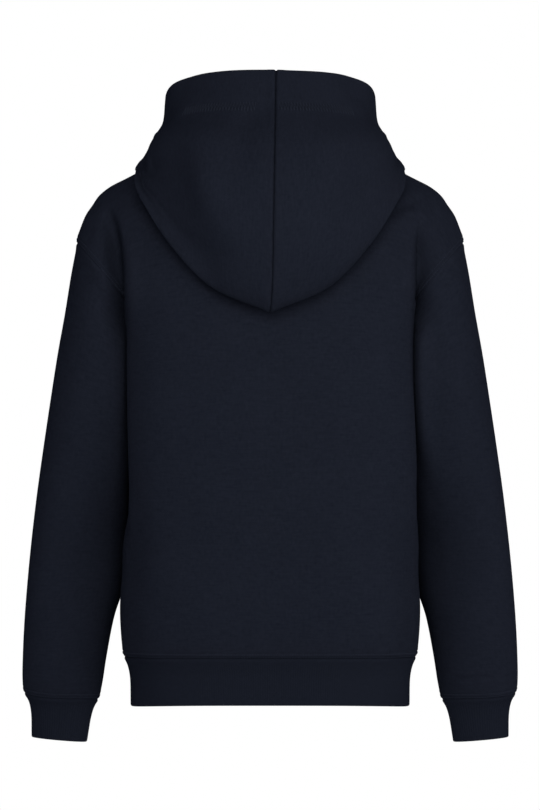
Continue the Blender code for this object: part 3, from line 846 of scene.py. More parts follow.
    def half_hood(self) -> np.ndarray:
        """Half the hood: rows from the centre seam round to the centre front, columns from neckline to rim.

        Each section rises out of the neckline over a crest, falls down the back inside the pouch, turns at
        the fold, and comes up outside to the casing and the rim. Towards the centre front it fades to a
        straight line.
        """
        shares = self.sampling.neck
        foot = np.concatenate([self.neckline(shares, 1.0), self.neckline(shares[-2::-1], -1.0)])
        azimuth = np.arctan2(foot[:, 0], foot[:, 1] - self.neck_axis_y)
        table = np.array([astuple(section) for section in self.hood], dtype=float)
        angles = np.radians(table[:, 0])
        value = np.stack([read_table(angles, table[:, i], azimuth) for i in range(1, 10)], axis=1)
        fold, full, casing, rim = value[:, 0:2], value[:, 2:4], value[:, 4:6], value[:, 6:8]
        start = np.stack([np.hypot(foot[:, 0], foot[:, 1] - self.neck_axis_y), foot[:, 2]], axis=1)
        fade = np.clip((math.pi - azimuth) / math.radians(self.hood_fade), 0.0, 1.0)[:, None]
        crest = [start + np.array(step) for step in self.crest]
        turn = [fold + value[:, 8:9] * np.array(step) for step in self.fold_turn]
        spans = ((crest[-1], turn[0]), (turn[-1], full), (full, casing))
        inner, low, high = (0.5 * (start_at + end_at) + length(end_at - start_at) * np.array(belly)
                            for (start_at, end_at), belly in zip(spans, self.bellies))
        path = np.stack([start, *crest, inner, *turn, low, full, high, casing, rim], axis=1)
        share = np.linspace(0.0, 1.0, path.shape[1])[:, None]
        straight = start[:, None] * (1 - share) + rim[:, None] * share
        path = straight + fade[:, None] * (path - straight)
        path = np.concatenate([path, np.zeros_like(path[..., :1])], axis=-1)
        ends = (2 * path[:, 0] - path[:, 1], 2 * path[:, -1] - path[:, -2])
        radial = smooth(path, self.sampling.profile(), ends)
        x = radial[..., 0] * np.sin(azimuth)[:, None]
        y = self.neck_axis_y + radial[..., 0] * np.cos(azimuth)[:, None]
        grid = np.stack([x, y, radial[..., 1]], axis=-1)
        grid[:, 0] = foot
        return grid


# ---- Meshes ----

class MeshMaker:
    """Turns arrays into objects that ride on the frame."""

    ROUNDING = (36.0, 72.0, 108.0, 144.0)   # degrees round a free edge
    SHARP_FROM = 62.0                       # degrees between faces

    @staticmethod
    def make(name: str, points: np.ndarray, quads: np.ndarray, material: bpy.types.Material,
             uv: Optional[np.ndarray] = None) -> bpy.types.Object:
        """Makes a smooth-shaded mesh object.

        Args:
            name: the piece's name.
            points: vertices (n, 3) in metres.
            quads: faces (m, 4) of vertex numbers.
            material: its only material.
            uv: corner coordinates (m, 4, 2), if the material follows the cloth.

        Returns:
            The object, linked to the scene at the origin.
        """
        mesh = bpy.data.meshes.new(name)
        mesh.vertices.add(len(points))
        mesh.vertices.foreach_set("co", points.astype(np.float32).ravel())
        mesh.loops.add(quads.size)
        mesh.loops.foreach_set("vertex_index", quads.astype(np.int32).ravel())
        mesh.polygons.add(len(quads))
        mesh.polygons.foreach_set("loop_start", np.arange(0, quads.size, 4, dtype=np.int32))
        mesh.update(calc_edges=True)
        if uv is not None:
            layer = mesh.uv_layers.new(name="cloth")
            layer.data.foreach_set("uv", uv.astype(np.float32).ravel())
        mesh.materials.append(material)
        mesh.shade_smooth()
        thing = bpy.data.objects.new(name, mesh)
        bpy.context.scene.collection.objects.link(thing)
        return thing

    @classmethod
    def shell(cls, cloth: Cloth, step: np.ndarray, material: bpy.types.Material) -> bpy.types.Object:
        """Makes the wall of a piece: outer face, inner face, rounded free edges and straight sewn ones.

        A rounded edge is a half circle between the two faces: middle + cos * half wall + sin * half wall
        outwards.

        Args:
            cloth: the piece, with its outer face final.
            step: step from the outer face to the inner one for a wall of thickness one.
            material: its finish.

        Returns:
            The object.
        """
        outer, inner = cloth.grid, cloth.grid + cloth.wall * step
        rows, columns = outer.shape[:2]
        chart = cloth.chart()
        index = np.arange(rows * columns).reshape(rows, columns)
        index = cloth.ring(index[..., None])[..., 0]
        blocks = [outer.reshape(-1, 3), inner.reshape(-1, 3)]

        def quads(block: np.ndarray) -> np.ndarray:
            """The four corners of every face of a block, in order round the face."""
            corners = [block[:-1, :-1], block[1:, :-1], block[1:, 1:], block[:-1, 1:]]
            return np.stack(corners, axis=2).reshape(-1, 4, *block.shape[2:])

        faces = [quads(index), quads(index)[:, ::-1] + rows * columns]
        charts = [quads(chart), quads(chart)[:, ::-1]]
        base = 2 * rows * columns
        inwards = cloth.inwards()
        for edge, line in cls.rims(cloth, index.shape):
            order = index[line]
            near, far = outer[line[0], line[1] % columns], inner[line[0], line[1] % columns]
            strips = [order]
            if edge in cloth.free:
                out = -inwards[line[0], line[1] % columns] * (length(near - far) / 2)
                for turn in np.radians(cls.ROUNDING):
                    bulge = (near + far) / 2 + math.cos(turn) * (near - far) / 2 + math.sin(turn) * out
                    if cloth.closed:
                        bulge = bulge[:-1]
                    strip = base + np.arange(len(bulge))
                    base += len(bulge)
                    blocks.append(bulge)
                    strips.append(np.append(strip, strip[0]) if cloth.closed else strip)
            strips.append(order + rows * columns)
            for upper, lower in zip(strips[:-1], strips[1:]):
                faces.append(np.stack([upper[:-1], upper[1:], lower[1:], lower[:-1]], axis=1))
                spot = chart[line]
                charts.append(np.stack([spot[:-1], spot[1:], spot[1:], spot[:-1]], axis=1))
        thing = cls.make(cloth.name, np.concatenate(blocks), np.concatenate(faces), material,
                         np.concatenate(charts))
        thing.data.set_sharp_from_angle(angle=math.radians(cls.SHARP_FROM))
        return thing

    @staticmethod
    def rims(cloth: Cloth, shape: tuple[int, int]) -> list[tuple[Edge, tuple[np.ndarray, np.ndarray]]]:
        """The edges to close, as row and column numbers in an order that keeps the rim's faces outward."""
        rows, columns = np.arange(shape[0]), np.arange(shape[1])
        found = [(Edge.FIRST_ROW, (np.zeros_like(columns), columns)),
                 (Edge.LAST_ROW, (np.full_like(columns, shape[0] - 1), columns[::-1]))]
        if not cloth.closed:
            found += [(Edge.LAST_COLUMN, (rows, np.full_like(rows, shape[1] - 1))),
                      (Edge.FIRST_COLUMN, (rows[::-1], np.zeros_like(rows)))]
        return found


# ---- Sewing thread ----

@dataclass(frozen=True)
class Thread:
    """Stitches: short rounded runs of thread that lie on the cloth and dive in at both ends."""

    stitch: float = 2.0
    pitch: float = 2.7
    width: float = 0.62
    rise: float = 0.30
    sides: int = 6
    sunk: float = 0.15        # how far its middle lies below the cloth at its ends
    loop_lean: float = 0.14   # how far a loop's head stands past its foot, in pitches
    rings: tuple[float, ...] = (-1.0, -0.82, -0.4, 0.0, 0.4, 0.82, 1.0)

    def runs(self, starts: np.ndarray, stops: np.ndarray, normals: np.ndarray) -> tuple[np.ndarray,
                                                                                        np.ndarray]:
        """Meshes of stitches, each from a start to a stop.

        At share s from -1 to 1 along it, the thread's middle stands rise * (1 - s^4) off the cloth and its
        radius is width / 2 * sqrt(1 - s^6).

        Args:
            starts: points (n, 3), in metres.
            stops: points (n, 3).
            normals: the cloth's normals there (n, 3).

        Returns:
            Vertices and quads of all the stitches together.
        """
        middle, half = (starts + stops) / 2, (stops - starts) / 2
        along = unit(half)
        side = unit(np.cross(along, normals))
        up = np.cross(side, along)
        s = np.array(self.rings)
        turn = 2 * math.pi * np.arange(self.sides) / self.sides
        radius = self.width / 2 * MM * np.sqrt(np.maximum(1 - s ** 6, 0.02))
        lift = self.rise * MM * (1 - s ** 4) - self.sunk * MM
        points = (middle[:, None, None] + s[None, :, None, None] * half[:, None, None]
                  + (radius[:, None] * np.cos(turn))[None, ..., None] * side[:, None, None]
                  + (lift[:, None] + radius[:, None] * np.sin(turn))[None, ..., None] * up[:, None, None])
        ring = np.arange(len(s) * self.sides).reshape(len(s), self.sides)
        ring = np.concatenate([ring, ring[:, :1]], axis=1)
        quad = np.stack([ring[:-1, :-1], ring[:-1, 1:], ring[1:, 1:], ring[1:, :-1]], axis=-1).reshape(-1, 4)
        base = np.arange(len(starts))[:, None, None] * (len(s) * self.sides)
        return points.reshape(-1, 3), (quad[None] + base).reshape(-1, 4)

    def row(self, line: np.ndarray, normals: np.ndarray, closed: bool) -> tuple[np.ndarray, np.ndarray]:
        """One row of even stitches along a line on the cloth."""
        if closed:
            line, normals = np.concatenate([line, line[:1]]), np.concatenate([normals, normals[:1]])
        run = run_along(line)
        count = int(run[-1] / (self.pitch * MM))
        begin = (np.arange(count) + 0.15) * run[-1] / count
        end = begin + self.stitch * MM
        ups = unit(read_line(normals, run, (begin + end) / 2))
        return self.runs(read_line(line, run, begin), read_line(line, run, end), ups)

    def zigzag(self, upper: np.ndarray, lower: np.ndarray, normals: np.ndarray) -> tuple[np.ndarray,
                                                                                         np.ndarray]:
        """Tall narrow loops between two lines on the cloth: each stroke up leans a little, each down more."""
        run = run_along(lower)
        count = int(run[-1] / (self.pitch * MM))
        foot = np.arange(count) * run[-1] / count
        heads = read_line(upper, run, foot + self.loop_lean * self.pitch * MM)
        feet, ups = read_line(lower, run, foot), unit(read_line(normals, run, foot))
        first, second = self.runs(feet, heads, ups), self.runs(heads[:-1], feet[1:], ups[:-1])
        return np.concatenate([first[0], second[0]]), np.concatenate([first[1], second[1] + len(first[0])])


def line_at(cloth: Cloth, normals: np.ndarray, edge: Edge, distance: float,
            part: slice = slice(None)) -> tuple[np.ndarray, np.ndarray]:
    """The line on a piece that runs at a distance, in millimetres, from one of its edges.

    Args:
        cloth: the piece.
        normals: its normals.
        edge: the edge to keep to.
        distance: how far from it.
        part: which of the grid's lines that meet the edge to use.

    Returns:
        Points and normals along the line.
    """
    axis, _ = edge.value
    away = cloth.from_edge(edge)
    grid = cloth.grid
    if axis == 0:
        away, grid, normals = away.T, np.swapaxes(grid, 0, 1), np.swapaxes(normals, 0, 1)
    away, grid, normals = away[part], grid[part], normals[part]
    if edge.value[1] != 0:
        away, grid, normals = away[:, ::-1], grid[:, ::-1], normals[:, ::-1]
    spot = np.argmax(away > distance * MM, axis=1)
    rows = np.arange(len(away))
    low, high = away[rows, spot - 1], away[rows, spot]
    t = ((distance * MM - low) / (high - low))[:, None]
    points = grid[rows, spot - 1] * (1 - t) + grid[rows, spot] * t
    return points, unit(normals[rows, spot - 1] * (1 - t) + normals[rows, spot] * t)


# ---- The garment ----

@dataclass(frozen=True)
class Drape:
    """The folds of the hanging cloth, drawn as (x, z) on cloth that faces behind, before, or sideways and up.

    They run over the seams, so every piece takes them by how much its cloth faces that way.
    """

    behind: tuple[Crease, ...] = (
        Crease(((150, -66), (142, -94), (139, -140), (139, -200)), 4.0, 9.0, reach=(0.3, 0.5)),
        Crease(((-147, -72), (-141, -98), (-139, -150)), 2.8, 9.0, reach=(0.4, 0.4)),
        Crease(((-114, -60), (-136, -50), (-156, -36)), -2.2, 5.0, reach=(0.4, 0.4)),
        Crease(((-128, -66), (-142, -58), (-154, -50)), 1.6, 4.5, reach=(0.4, 0.4)),
        Crease(((116, -52), (134, -46), (150, -36)), -1.6, 7.0, reach=(0.4, 0.4)),
        Crease(((142, -350), (139.5, -390), (134, -420)), 0.9, 5.0, reach=(0.5, 0.5)),
        Crease(((128, -415), (125, -445), (119, -480)), -1.8, 16.0, reach=(0.5, 0.5)),
        Crease(((60, -330), (66, -420), (58, -480)), -0.9, 24.0, reach=(0.5, 0.5)),
        Crease(((-80, -300), (-78, -390), (-88, -470)), 0.9, 26.0, reach=(0.5, 0.5)),
        Crease(((216, -190), (222, -280), (226, -380)), 0.8, 12.0, reach=(0.5, 0.5)),
        Crease(((-168, -360), (-166, -400), (-169, -440)), -2.0, 9.0, reach=(0.5, 0.5)),
        Crease(((-186, -535), (-200, -534.5), (-214, -532), (-234, -533)), -1.6, 1.9, reach=(0.3, 0.3)),
        Crease(((-186, -531), (-202, -530), (-216, -528), (-232, -529.5)), 0.8, 2.6, reach=(0.3, 0.3)),
        Crease(((196, -522), (214, -529), (236, -524)), -0.7, 5.0, reach=(0.4, 0.4)),
    )
    before: tuple[Crease, ...] = (
        Crease(((104, -120), (86, -190), (88, -290)), -1.6, 20.0, reach=(0.5, 0.5)),
        Crease(((-96, -130), (-104, -230), (-90, -330)), 1.2, 22.0, reach=(0.5, 0.5)),
        Crease(((30, -400), (12, -450), (22, -492)), -1.0, 18.0, reach=(0.5, 0.5)),
        Crease(((-140, -420), (-120, -450), (-112, -490)), 1.2, 14.0, reach=(0.5, 0.5)),
        Crease(((170, -300), (192, -318), (222, -316)), -2.4, 9.0, reach=(0.4, 0.4)),
        Crease(((172, -330), (196, -344), (226, -338)), -1.6, 7.0, reach=(0.4, 0.4)),
        Crease(((-168, -296), (-190, -310), (-218, -306)), -2.0, 9.0, reach=(0.4, 0.4)),
        Crease(((-176, -338), (-198, -350), (-228, -346)), -1.8, 7.0, reach=(0.4, 0.4)),
        Crease(((190, -520), (210, -529), (234, -524)), -1.0, 4.5, reach=(0.4, 0.4)),
        Crease(((-190, -522), (-212, -530), (-234, -523)), -1.1, 4.5, reach=(0.4, 0.4)),
    )

    beside: tuple[Crease, ...] = (
        *both_sides(((150, -18), (166, -27), (184, -48)), 0.7, 8.0, (0.4, 0.3)),
        *both_sides(((180, -44), (191, -58), (197, -74), (201, -96)), 2.0, 9.0, (0.35, 0.35)),
        *both_sides(((145, -335), (145, -366), (146, -396)), 1.2, 9.0, (0.5, 0.5)),
    )

    sunk: tuple[Crease, ...] = (
        Crease(((170, -40), (165, -62), (160, -90), (158, -118), (158, -140)), 6.0, 8.0, 10.0, 2.0,
               (0.35, 0.4)),
        Crease(((174, -42), (164, -54), (156.5, -72), (152, -96), (149.5, -124), (148.5, -150),
                (147, -200)), 18.0, 2.2,
               13.0, 1.7, (0.34, 0.34)),
        Crease(((-160, -52), (-153, -70), (-150, -88), (-149, -108), (-149, -130), (-148.5, -150),
                (-147, -190)), 14.0,
               9.0, 2.2, 1.3, (0.34, 0.34)),
    )

    filled: tuple[Crease, ...] = (
        Crease(((152, -185), (150, -240), (150, -300), (153, -360), (160, -410), (168, -450)), -2.5, 14.0,
               12.0, 2.0,
               (0.3, 0.3)),
        Crease(((-151, -145), (-149, -200), (-149, -300), (-152, -360), (-160, -420), (-168, -480)), -16.0,
               14.0, 14.0,
               2.0, (0.15, 0.2)),
        Crease(((-152, -260), (-153, -330), (-157, -390), (-164, -440), (-172, -490)), -13.0, 22.0, 22.0, 2.0,
               (0.35, 0.3)),
    )

    spread: tuple[Crease, ...] = (
        Crease(((-140, -215), (-141, -280), (-146, -349), (-150, -400), (-152, -450)), 5.5, 16.0, 16.0, 2.0,
               (0.5, 0.4)),
    )

    still: float = 12.0    # half depth beside the side seams that the deep folds leave alone
    ramp: float = 30.0     # depth over which they grow to the full
    facing: tuple[float, float] = (0.45, 0.35)   # the normal's y for all of a fold: behind or before, beside

    def sink(self, cloth: Cloth) -> np.ndarray:
        """The deep folds from shoulder to underarm, and the sleeves' fuller inner edges, in metres.

        They go straight towards the middle of the garment or away from it, the fuller edges only behind. The
        right side of the back panel is also spread sideways a little.
        """
        flat, depth = cloth.grid[..., [0, 2]] / MM, cloth.grid[..., 1] / MM
        share = smoothstep(np.clip((np.abs(depth) - self.still) / self.ramp, 0.0, 1.0))
        height = sum(crease.height(flat) for crease in self.sunk)
        if cloth.name.startswith("sleeve"):
            behind = np.clip(depth / self.still, 0.0, 1.0)
            height = height + behind * sum(crease.height(flat) for crease in self.filled)
        move = np.zeros_like(cloth.grid)
        move[..., 1] = -np.sign(depth) * share * height
        if cloth.name.endswith("panel"):
            side = np.sign(flat[..., 0]) * np.clip(depth / self.ramp, 0.0, 1.0)
            move[..., 0] = side * sum(crease.height(flat) for crease in self.spread)
        return move * MM

    def relief(self, cloth: Cloth, normal: np.ndarray) -> np.ndarray:
        """Height of the folds in millimetres."""
        flat = cloth.grid[..., [0, 2]] / MM
        height = np.zeros(flat.shape[:2])
        y, (full, beside) = normal[..., 1], self.facing
        facings = (y / full, -y / full, 2.0 - np.abs(y) / beside)
        for creases, facing in zip((self.behind, self.before, self.beside), facings):
            height += smoothstep(np.clip(facing, 0.0, 1.0)) * sum(crease.height(flat) for crease in creases)
        return height


@dataclass
class BodyPanels:
    """Back and front, with their folds and seams."""

    cut: Cut
    drape: Drape = Drape()
    hem: SeamRelief = SeamRelief(depth=2.2, width=1.4, lift=0.5, allowance=8.0, rows=(2.0, 5.7), press=0.7)
    side: SeamRelief = SeamRelief(depth=0.6, width=1.5)
    armhole: SeamRelief = SeamRelief(depth=1.15, width=1.4, lift=0.5, allowance=8.0, rows=(2.0, 5.7),
                                     press=0.5)
    top: SeamRelief = SeamRelief(depth=0.5, width=1.5)

    def pieces(self) -> list[Cloth]:
        """The two panels before any relief."""
        back, front = self.cut.panel(1.0) * MM, self.cut.panel(-1.0)[:, ::-1] * MM
        return [
            Cloth("back_panel", back, False, 2.4 * MM, Slot.FLEECE, (0.50, 0.56, 0.213),
                  ("sleeve_left", "sleeve_right")),
            Cloth("front_panel", front, False, 2.4 * MM, Slot.FLEECE, (0.50, 0.56, 0.208),
                  ("back_panel",)),
        ]

    def relief(self, cloth: Cloth, normal: np.ndarray) -> np.ndarray:
        """Height of the folds and seams of a panel, in millimetres."""
        height = self.drape.relief(cloth, normal)
        height = height + self.hem.height(cloth.from_edge(Edge.FIRST_ROW))
        height = height + self.top.height(cloth.from_edge(Edge.LAST_ROW))
        yoke = np.zeros(len(cloth.grid))
        yoke[len(self.cut.sampling.body) - 1:] = 1.0
        yoke = np.clip(np.convolve(yoke, np.ones(5) / 5, mode="same"), 0.0, 1.0)[:, None]
        yoke[-3:] = 1.0
        for edge in (Edge.FIRST_COLUMN, Edge.LAST_COLUMN):
            away = cloth.from_edge(edge)
            height = height + yoke * self.armhole.height(away) + (1 - yoke) * self.side.height(away)
        return height


@dataclass
class Sleeves:
    """The two sleeves, with their folds and seams."""

    cut: Cut
    drape: Drape = Drape()
    head: SeamRelief = SeamRelief(depth=1.15, width=1.5)
    foot: SeamRelief = SeamRelief(depth=1.6, width=1.5, lift=0.4, allowance=8.0, rows=(2.4, 6.0), press=0.6)

    def pieces(self) -> list[Cloth]:
        """The two sleeves before any relief."""
        grid = self.cut.tube(self.cut.sleeve, self.cut.sampling.sleeve) * MM
        size = (0.35, 0.49, 0.119)
        return [
            Cloth("sleeve_left", grid, True, 2.4 * MM, Slot.FLEECE, size, ("back_panel", "front_panel")),
            Cloth("sleeve_right", flip(grid)[:, ::-1], True, 2.4 * MM, Slot.FLEECE, size,
                  ("back_panel", "front_panel")),
        ]

    def relief(self, cloth: Cloth, normal: np.ndarray) -> np.ndarray:
        """Height of the folds and seams of a sleeve, in millimetres."""
        height = self.drape.relief(cloth, normal)
        height = height + self.head.height(cloth.from_edge(Edge.FIRST_ROW))
        return height + self.foot.height(cloth.from_edge(Edge.LAST_ROW))


@dataclass
class Hood:
    """The two hood halves, lying down behind as a pouch."""

    cut: Cut
    centre: SeamRelief = SeamRelief(depth=1.6, width=1.0, lift=0.5, allowance=9.0)
    casing: float = 36.0
    casing_press: float = 0.35
    loops_height: float = 11.0
    loops_from: float = 8.0
    loops_to: float = 87.0
    seam_lean_top: float = -6.0
    seam_lean_foot: float = -1.9
    lean_reach: float = 62.0
    rim_tilt: float = 0.022
    tilt_width: float = 55.0
    tilt_from: float = 40.0
    outer_layer: tuple[float, float] = (6.2, 1.6)    # where it starts along a section, and over how far
    sideways: tuple[float, float] = (0.58, 0.3)      # the same for how far the cloth faces sideways
    hem_step: float = 0.4
    press_at: float = 4.0
    press_width: float = 5.0
    creases: tuple[Crease, ...] = (
        Crease(((76, 54), (74, 26), (70, -8), (62, -40), (50, -72), (34, -102)), 11.0, 18.0,
               reach=(0.5, 0.55)),
        Crease(((121, 26), (120, -6), (115, -42), (101, -83), (76, -118), (37, -142)), -14.0, 37.0, 36.0,
               reach=(0.3, 0.3)),
        Crease(((9.0, 82), (8.5, 52), (9.5, 22)), -1.6, 3.6, reach=(0.3, 0.5)),
        Crease(((20, 64), (27, 32), (31, 2), (28, -34)), -4.0, 11.0, reach=(0.3, 0.4)),
        Crease(((24, -137), (14, -137.5), (4, -147)), 1.3, 3.2, reach=(0.4, 0.3)),
        Crease(((-110, 16), (-98, -30), (-80, -64), (-56, -94)), -10.0, 30.0, reach=(0.4, 0.4)),
        Crease(((-58, 40), (-64, 10), (-60, -20)), 2.0, 20.0, reach=(0.4, 0.4)),
        Crease(((-28, 10), (-34, -40), (-30, -90)), -0.9, 16.0, reach=(0.5, 0.5)),
        Crease(((5, -124), (-1, -124), (-8, -124)), -0.5, 1.6, reach=(0.4, 0.4)),
    )

    flank: tuple[Crease, ...] = (
        Crease(((60, 54), (78, 50), (92, 45), (102, 39)), 3.5, 7.0, reach=(0.3, 0.4)),
        Crease(((70, 24), (108, 23), (140, 22)), -1.5, 5.5, reach=(0.2, 0.2)),
        Crease(((70, 6), (118, 5), (150, 4)), 1.0, 6.0, reach=(0.2, 0.2)),
        Crease(((90, -8), (130, -8), (170, -8)), -1.2, 5.5, reach=(0.2, 0.2)),
    )

    def pieces(self) -> list[Cloth]:
        """The two halves before any relief."""
        half = self.cut.half_hood() * MM
        size = (0.30, 0.36, 0.071)
        return [
            Cloth("hood_left", half[::-1], False, 2.4 * MM, Slot.FLEECE, size, ("back_panel", "front_panel"),
                  (Edge.LAST_COLUMN,)),
            Cloth("hood_right", flip(half), False, 2.4 * MM, Slot.FLEECE, size, ("back_panel", "front_panel"),
                  (Edge.LAST_COLUMN,)),
        ]

    def outside(self, cloth: Cloth) -> np.ndarray:
        """How far each point belongs to the outer layer: 0 before the fold, 1 beyond it."""
        at = self.cut.sampling.profile()
        start, span = self.outer_layer
        share = smoothstep(np.clip((at - start) / span, 0.0, 1.0))
        return np.broadcast_to(share, cloth.grid.shape[:2])

    def relief(self, cloth: Cloth, normal: np.ndarray) -> np.ndarray:
        """Height of the folds, centre seam and turned hem, in millimetres."""
        flat = cloth.grid[..., [0, 2]] / MM
        outside = self.outside(cloth) * np.clip(normal[..., 1] / 0.3, 0.0, 1.0)
        height = sum(crease.height(flat) for crease in self.creases) * outside
        start, span = self.sideways
        sideways = np.clip((np.abs(normal[..., 0]) - start) / span, 0.0, 1.0)
        mirrored = np.stack([np.abs(flat[..., 0]), flat[..., 1]], axis=-1)
        height = height + sum(crease.height(mirrored) for crease in self.flank) * sideways
        seam = Edge.LAST_ROW if cloth.name == "hood_left" else Edge.FIRST_ROW
        height = height + self.centre.height(cloth.from_edge(seam))
        from_rim = cloth.from_edge(Edge.LAST_COLUMN) / MM
        hem = self.hem_step / (1 + np.exp(np.clip((from_rim - self.casing) / 1.0, -40.0, 40.0)))
        past = (from_rim - self.casing - self.press_at) / self.press_width
        press = self.casing_press * np.exp(-past ** 2)
        return height + hem - press

    def lean(self, cloth: Cloth) -> np.ndarray:
        """Sideways drift of the centre seam, which lies a little to the wearer's right, in metres."""
        x, z = cloth.grid[..., 0] / MM, cloth.grid[..., 2] / MM
        share = np.clip((z + 160.0) / 245.0, 0.0, 1.0)
        shift = self.seam_lean_foot + (self.seam_lean_top - self.seam_lean_foot) * share
        drift = shift * np.exp(-(x / self.lean_reach) ** 2) * self.outside(cloth)
        move = np.zeros_like(cloth.grid)
        move[..., 0] = drift * MM
        high = np.clip((z - self.tilt_from) / self.tilt_from, 0.0, 1.0)
        move[..., 2] = self.rim_tilt * x * np.exp(-(x / self.tilt_width) ** 2) * high * MM
        return move


@dataclass
class Ribs:
    """Ribbed hem band and cuffs: upright ribs that fade out in the seam."""

    cut: Cut
    band_ribs: int = 340
    cuff_ribs: int = 68
    band_rise: float = 0.07
    cuff_rise: float = 0.22
    band_split: int = 5
    cuff_split: int = 3
    seam_fade: float = 5.0
    seam: SeamRelief = SeamRelief(depth=1.7, width=1.5)
    rows: np.ndarray = field(default_factory=lambda: crowded(20, first=3.0, last=1.5, reach=0.06))

    def pieces(self) -> list[Cloth]:
        """The band and the cuffs before any relief."""
        band = self.cut.hem_band(self.rows)[:, ::-1] * MM
        cuff = self.cut.tube(self.cut.cuff, self.rows) * MM
        return [
            Cloth("hem_band", band, True, 3.0 * MM, Slot.RIB, (0.82, 0.053, 0.0395),
                  ("back_panel", "front_panel"),
                  (Edge.LAST_ROW,)),
            Cloth("cuff_left", cuff, True, 3.0 * MM, Slot.RIB, (0.16, 0.046, 0.0073), ("sleeve_left",),
                  (Edge.LAST_ROW,)),
            Cloth("cuff_right", flip(cuff)[:, ::-1], True, 3.0 * MM, Slot.RIB, (0.16, 0.046, 0.0073),
                  ("sleeve_right",), (Edge.LAST_ROW,)),
        ]

    def relief(self, cloth: Cloth, _: np.ndarray) -> np.ndarray:
        """Height of the groove at the seam, in millimetres."""
        return self.seam.height(cloth.from_edge(Edge.FIRST_ROW))

    def ribbed(self, cloth: Cloth, step: np.ndarray) -> tuple[Cloth, np.ndarray]:
        """Divides the columns finely and raises the ribs by rise * (cos(pi * ribs * share) ^ 2 - 1 / 2)."""
        band = cloth.name == "hem_band"
        split, count, rise = ((self.band_split, self.band_ribs, self.band_rise) if band
                              else (self.cuff_split, self.cuff_ribs, self.cuff_rise))
        rows, columns = cloth.grid.shape[:2]
        at = np.arange(columns * split) / split
        def finer(values: np.ndarray) -> np.ndarray:
            """Values read between the columns along a smooth closed curve."""
            return smooth(cloth.ring(values), at, (values[:, -1], values[:, 1]))
        grid, normal = finer(cloth.grid), -unit(finer(step))
        run = run_along(cloth.ring(cloth.grid)[rows // 2])
        share = np.interp(at, np.arange(columns + 1), run / run[-1])
        wave = np.cos(math.pi * count * share) ** 2 - 0.5
        away = cloth.from_edge(Edge.FIRST_ROW)[:, :1] / MM
        fade = 1 - np.exp(-(away / self.seam_fade) ** 2)
        grid = grid + normal * (rise * MM * fade * wave)[..., None]
        return replace(cloth, grid=grid), finer(step)


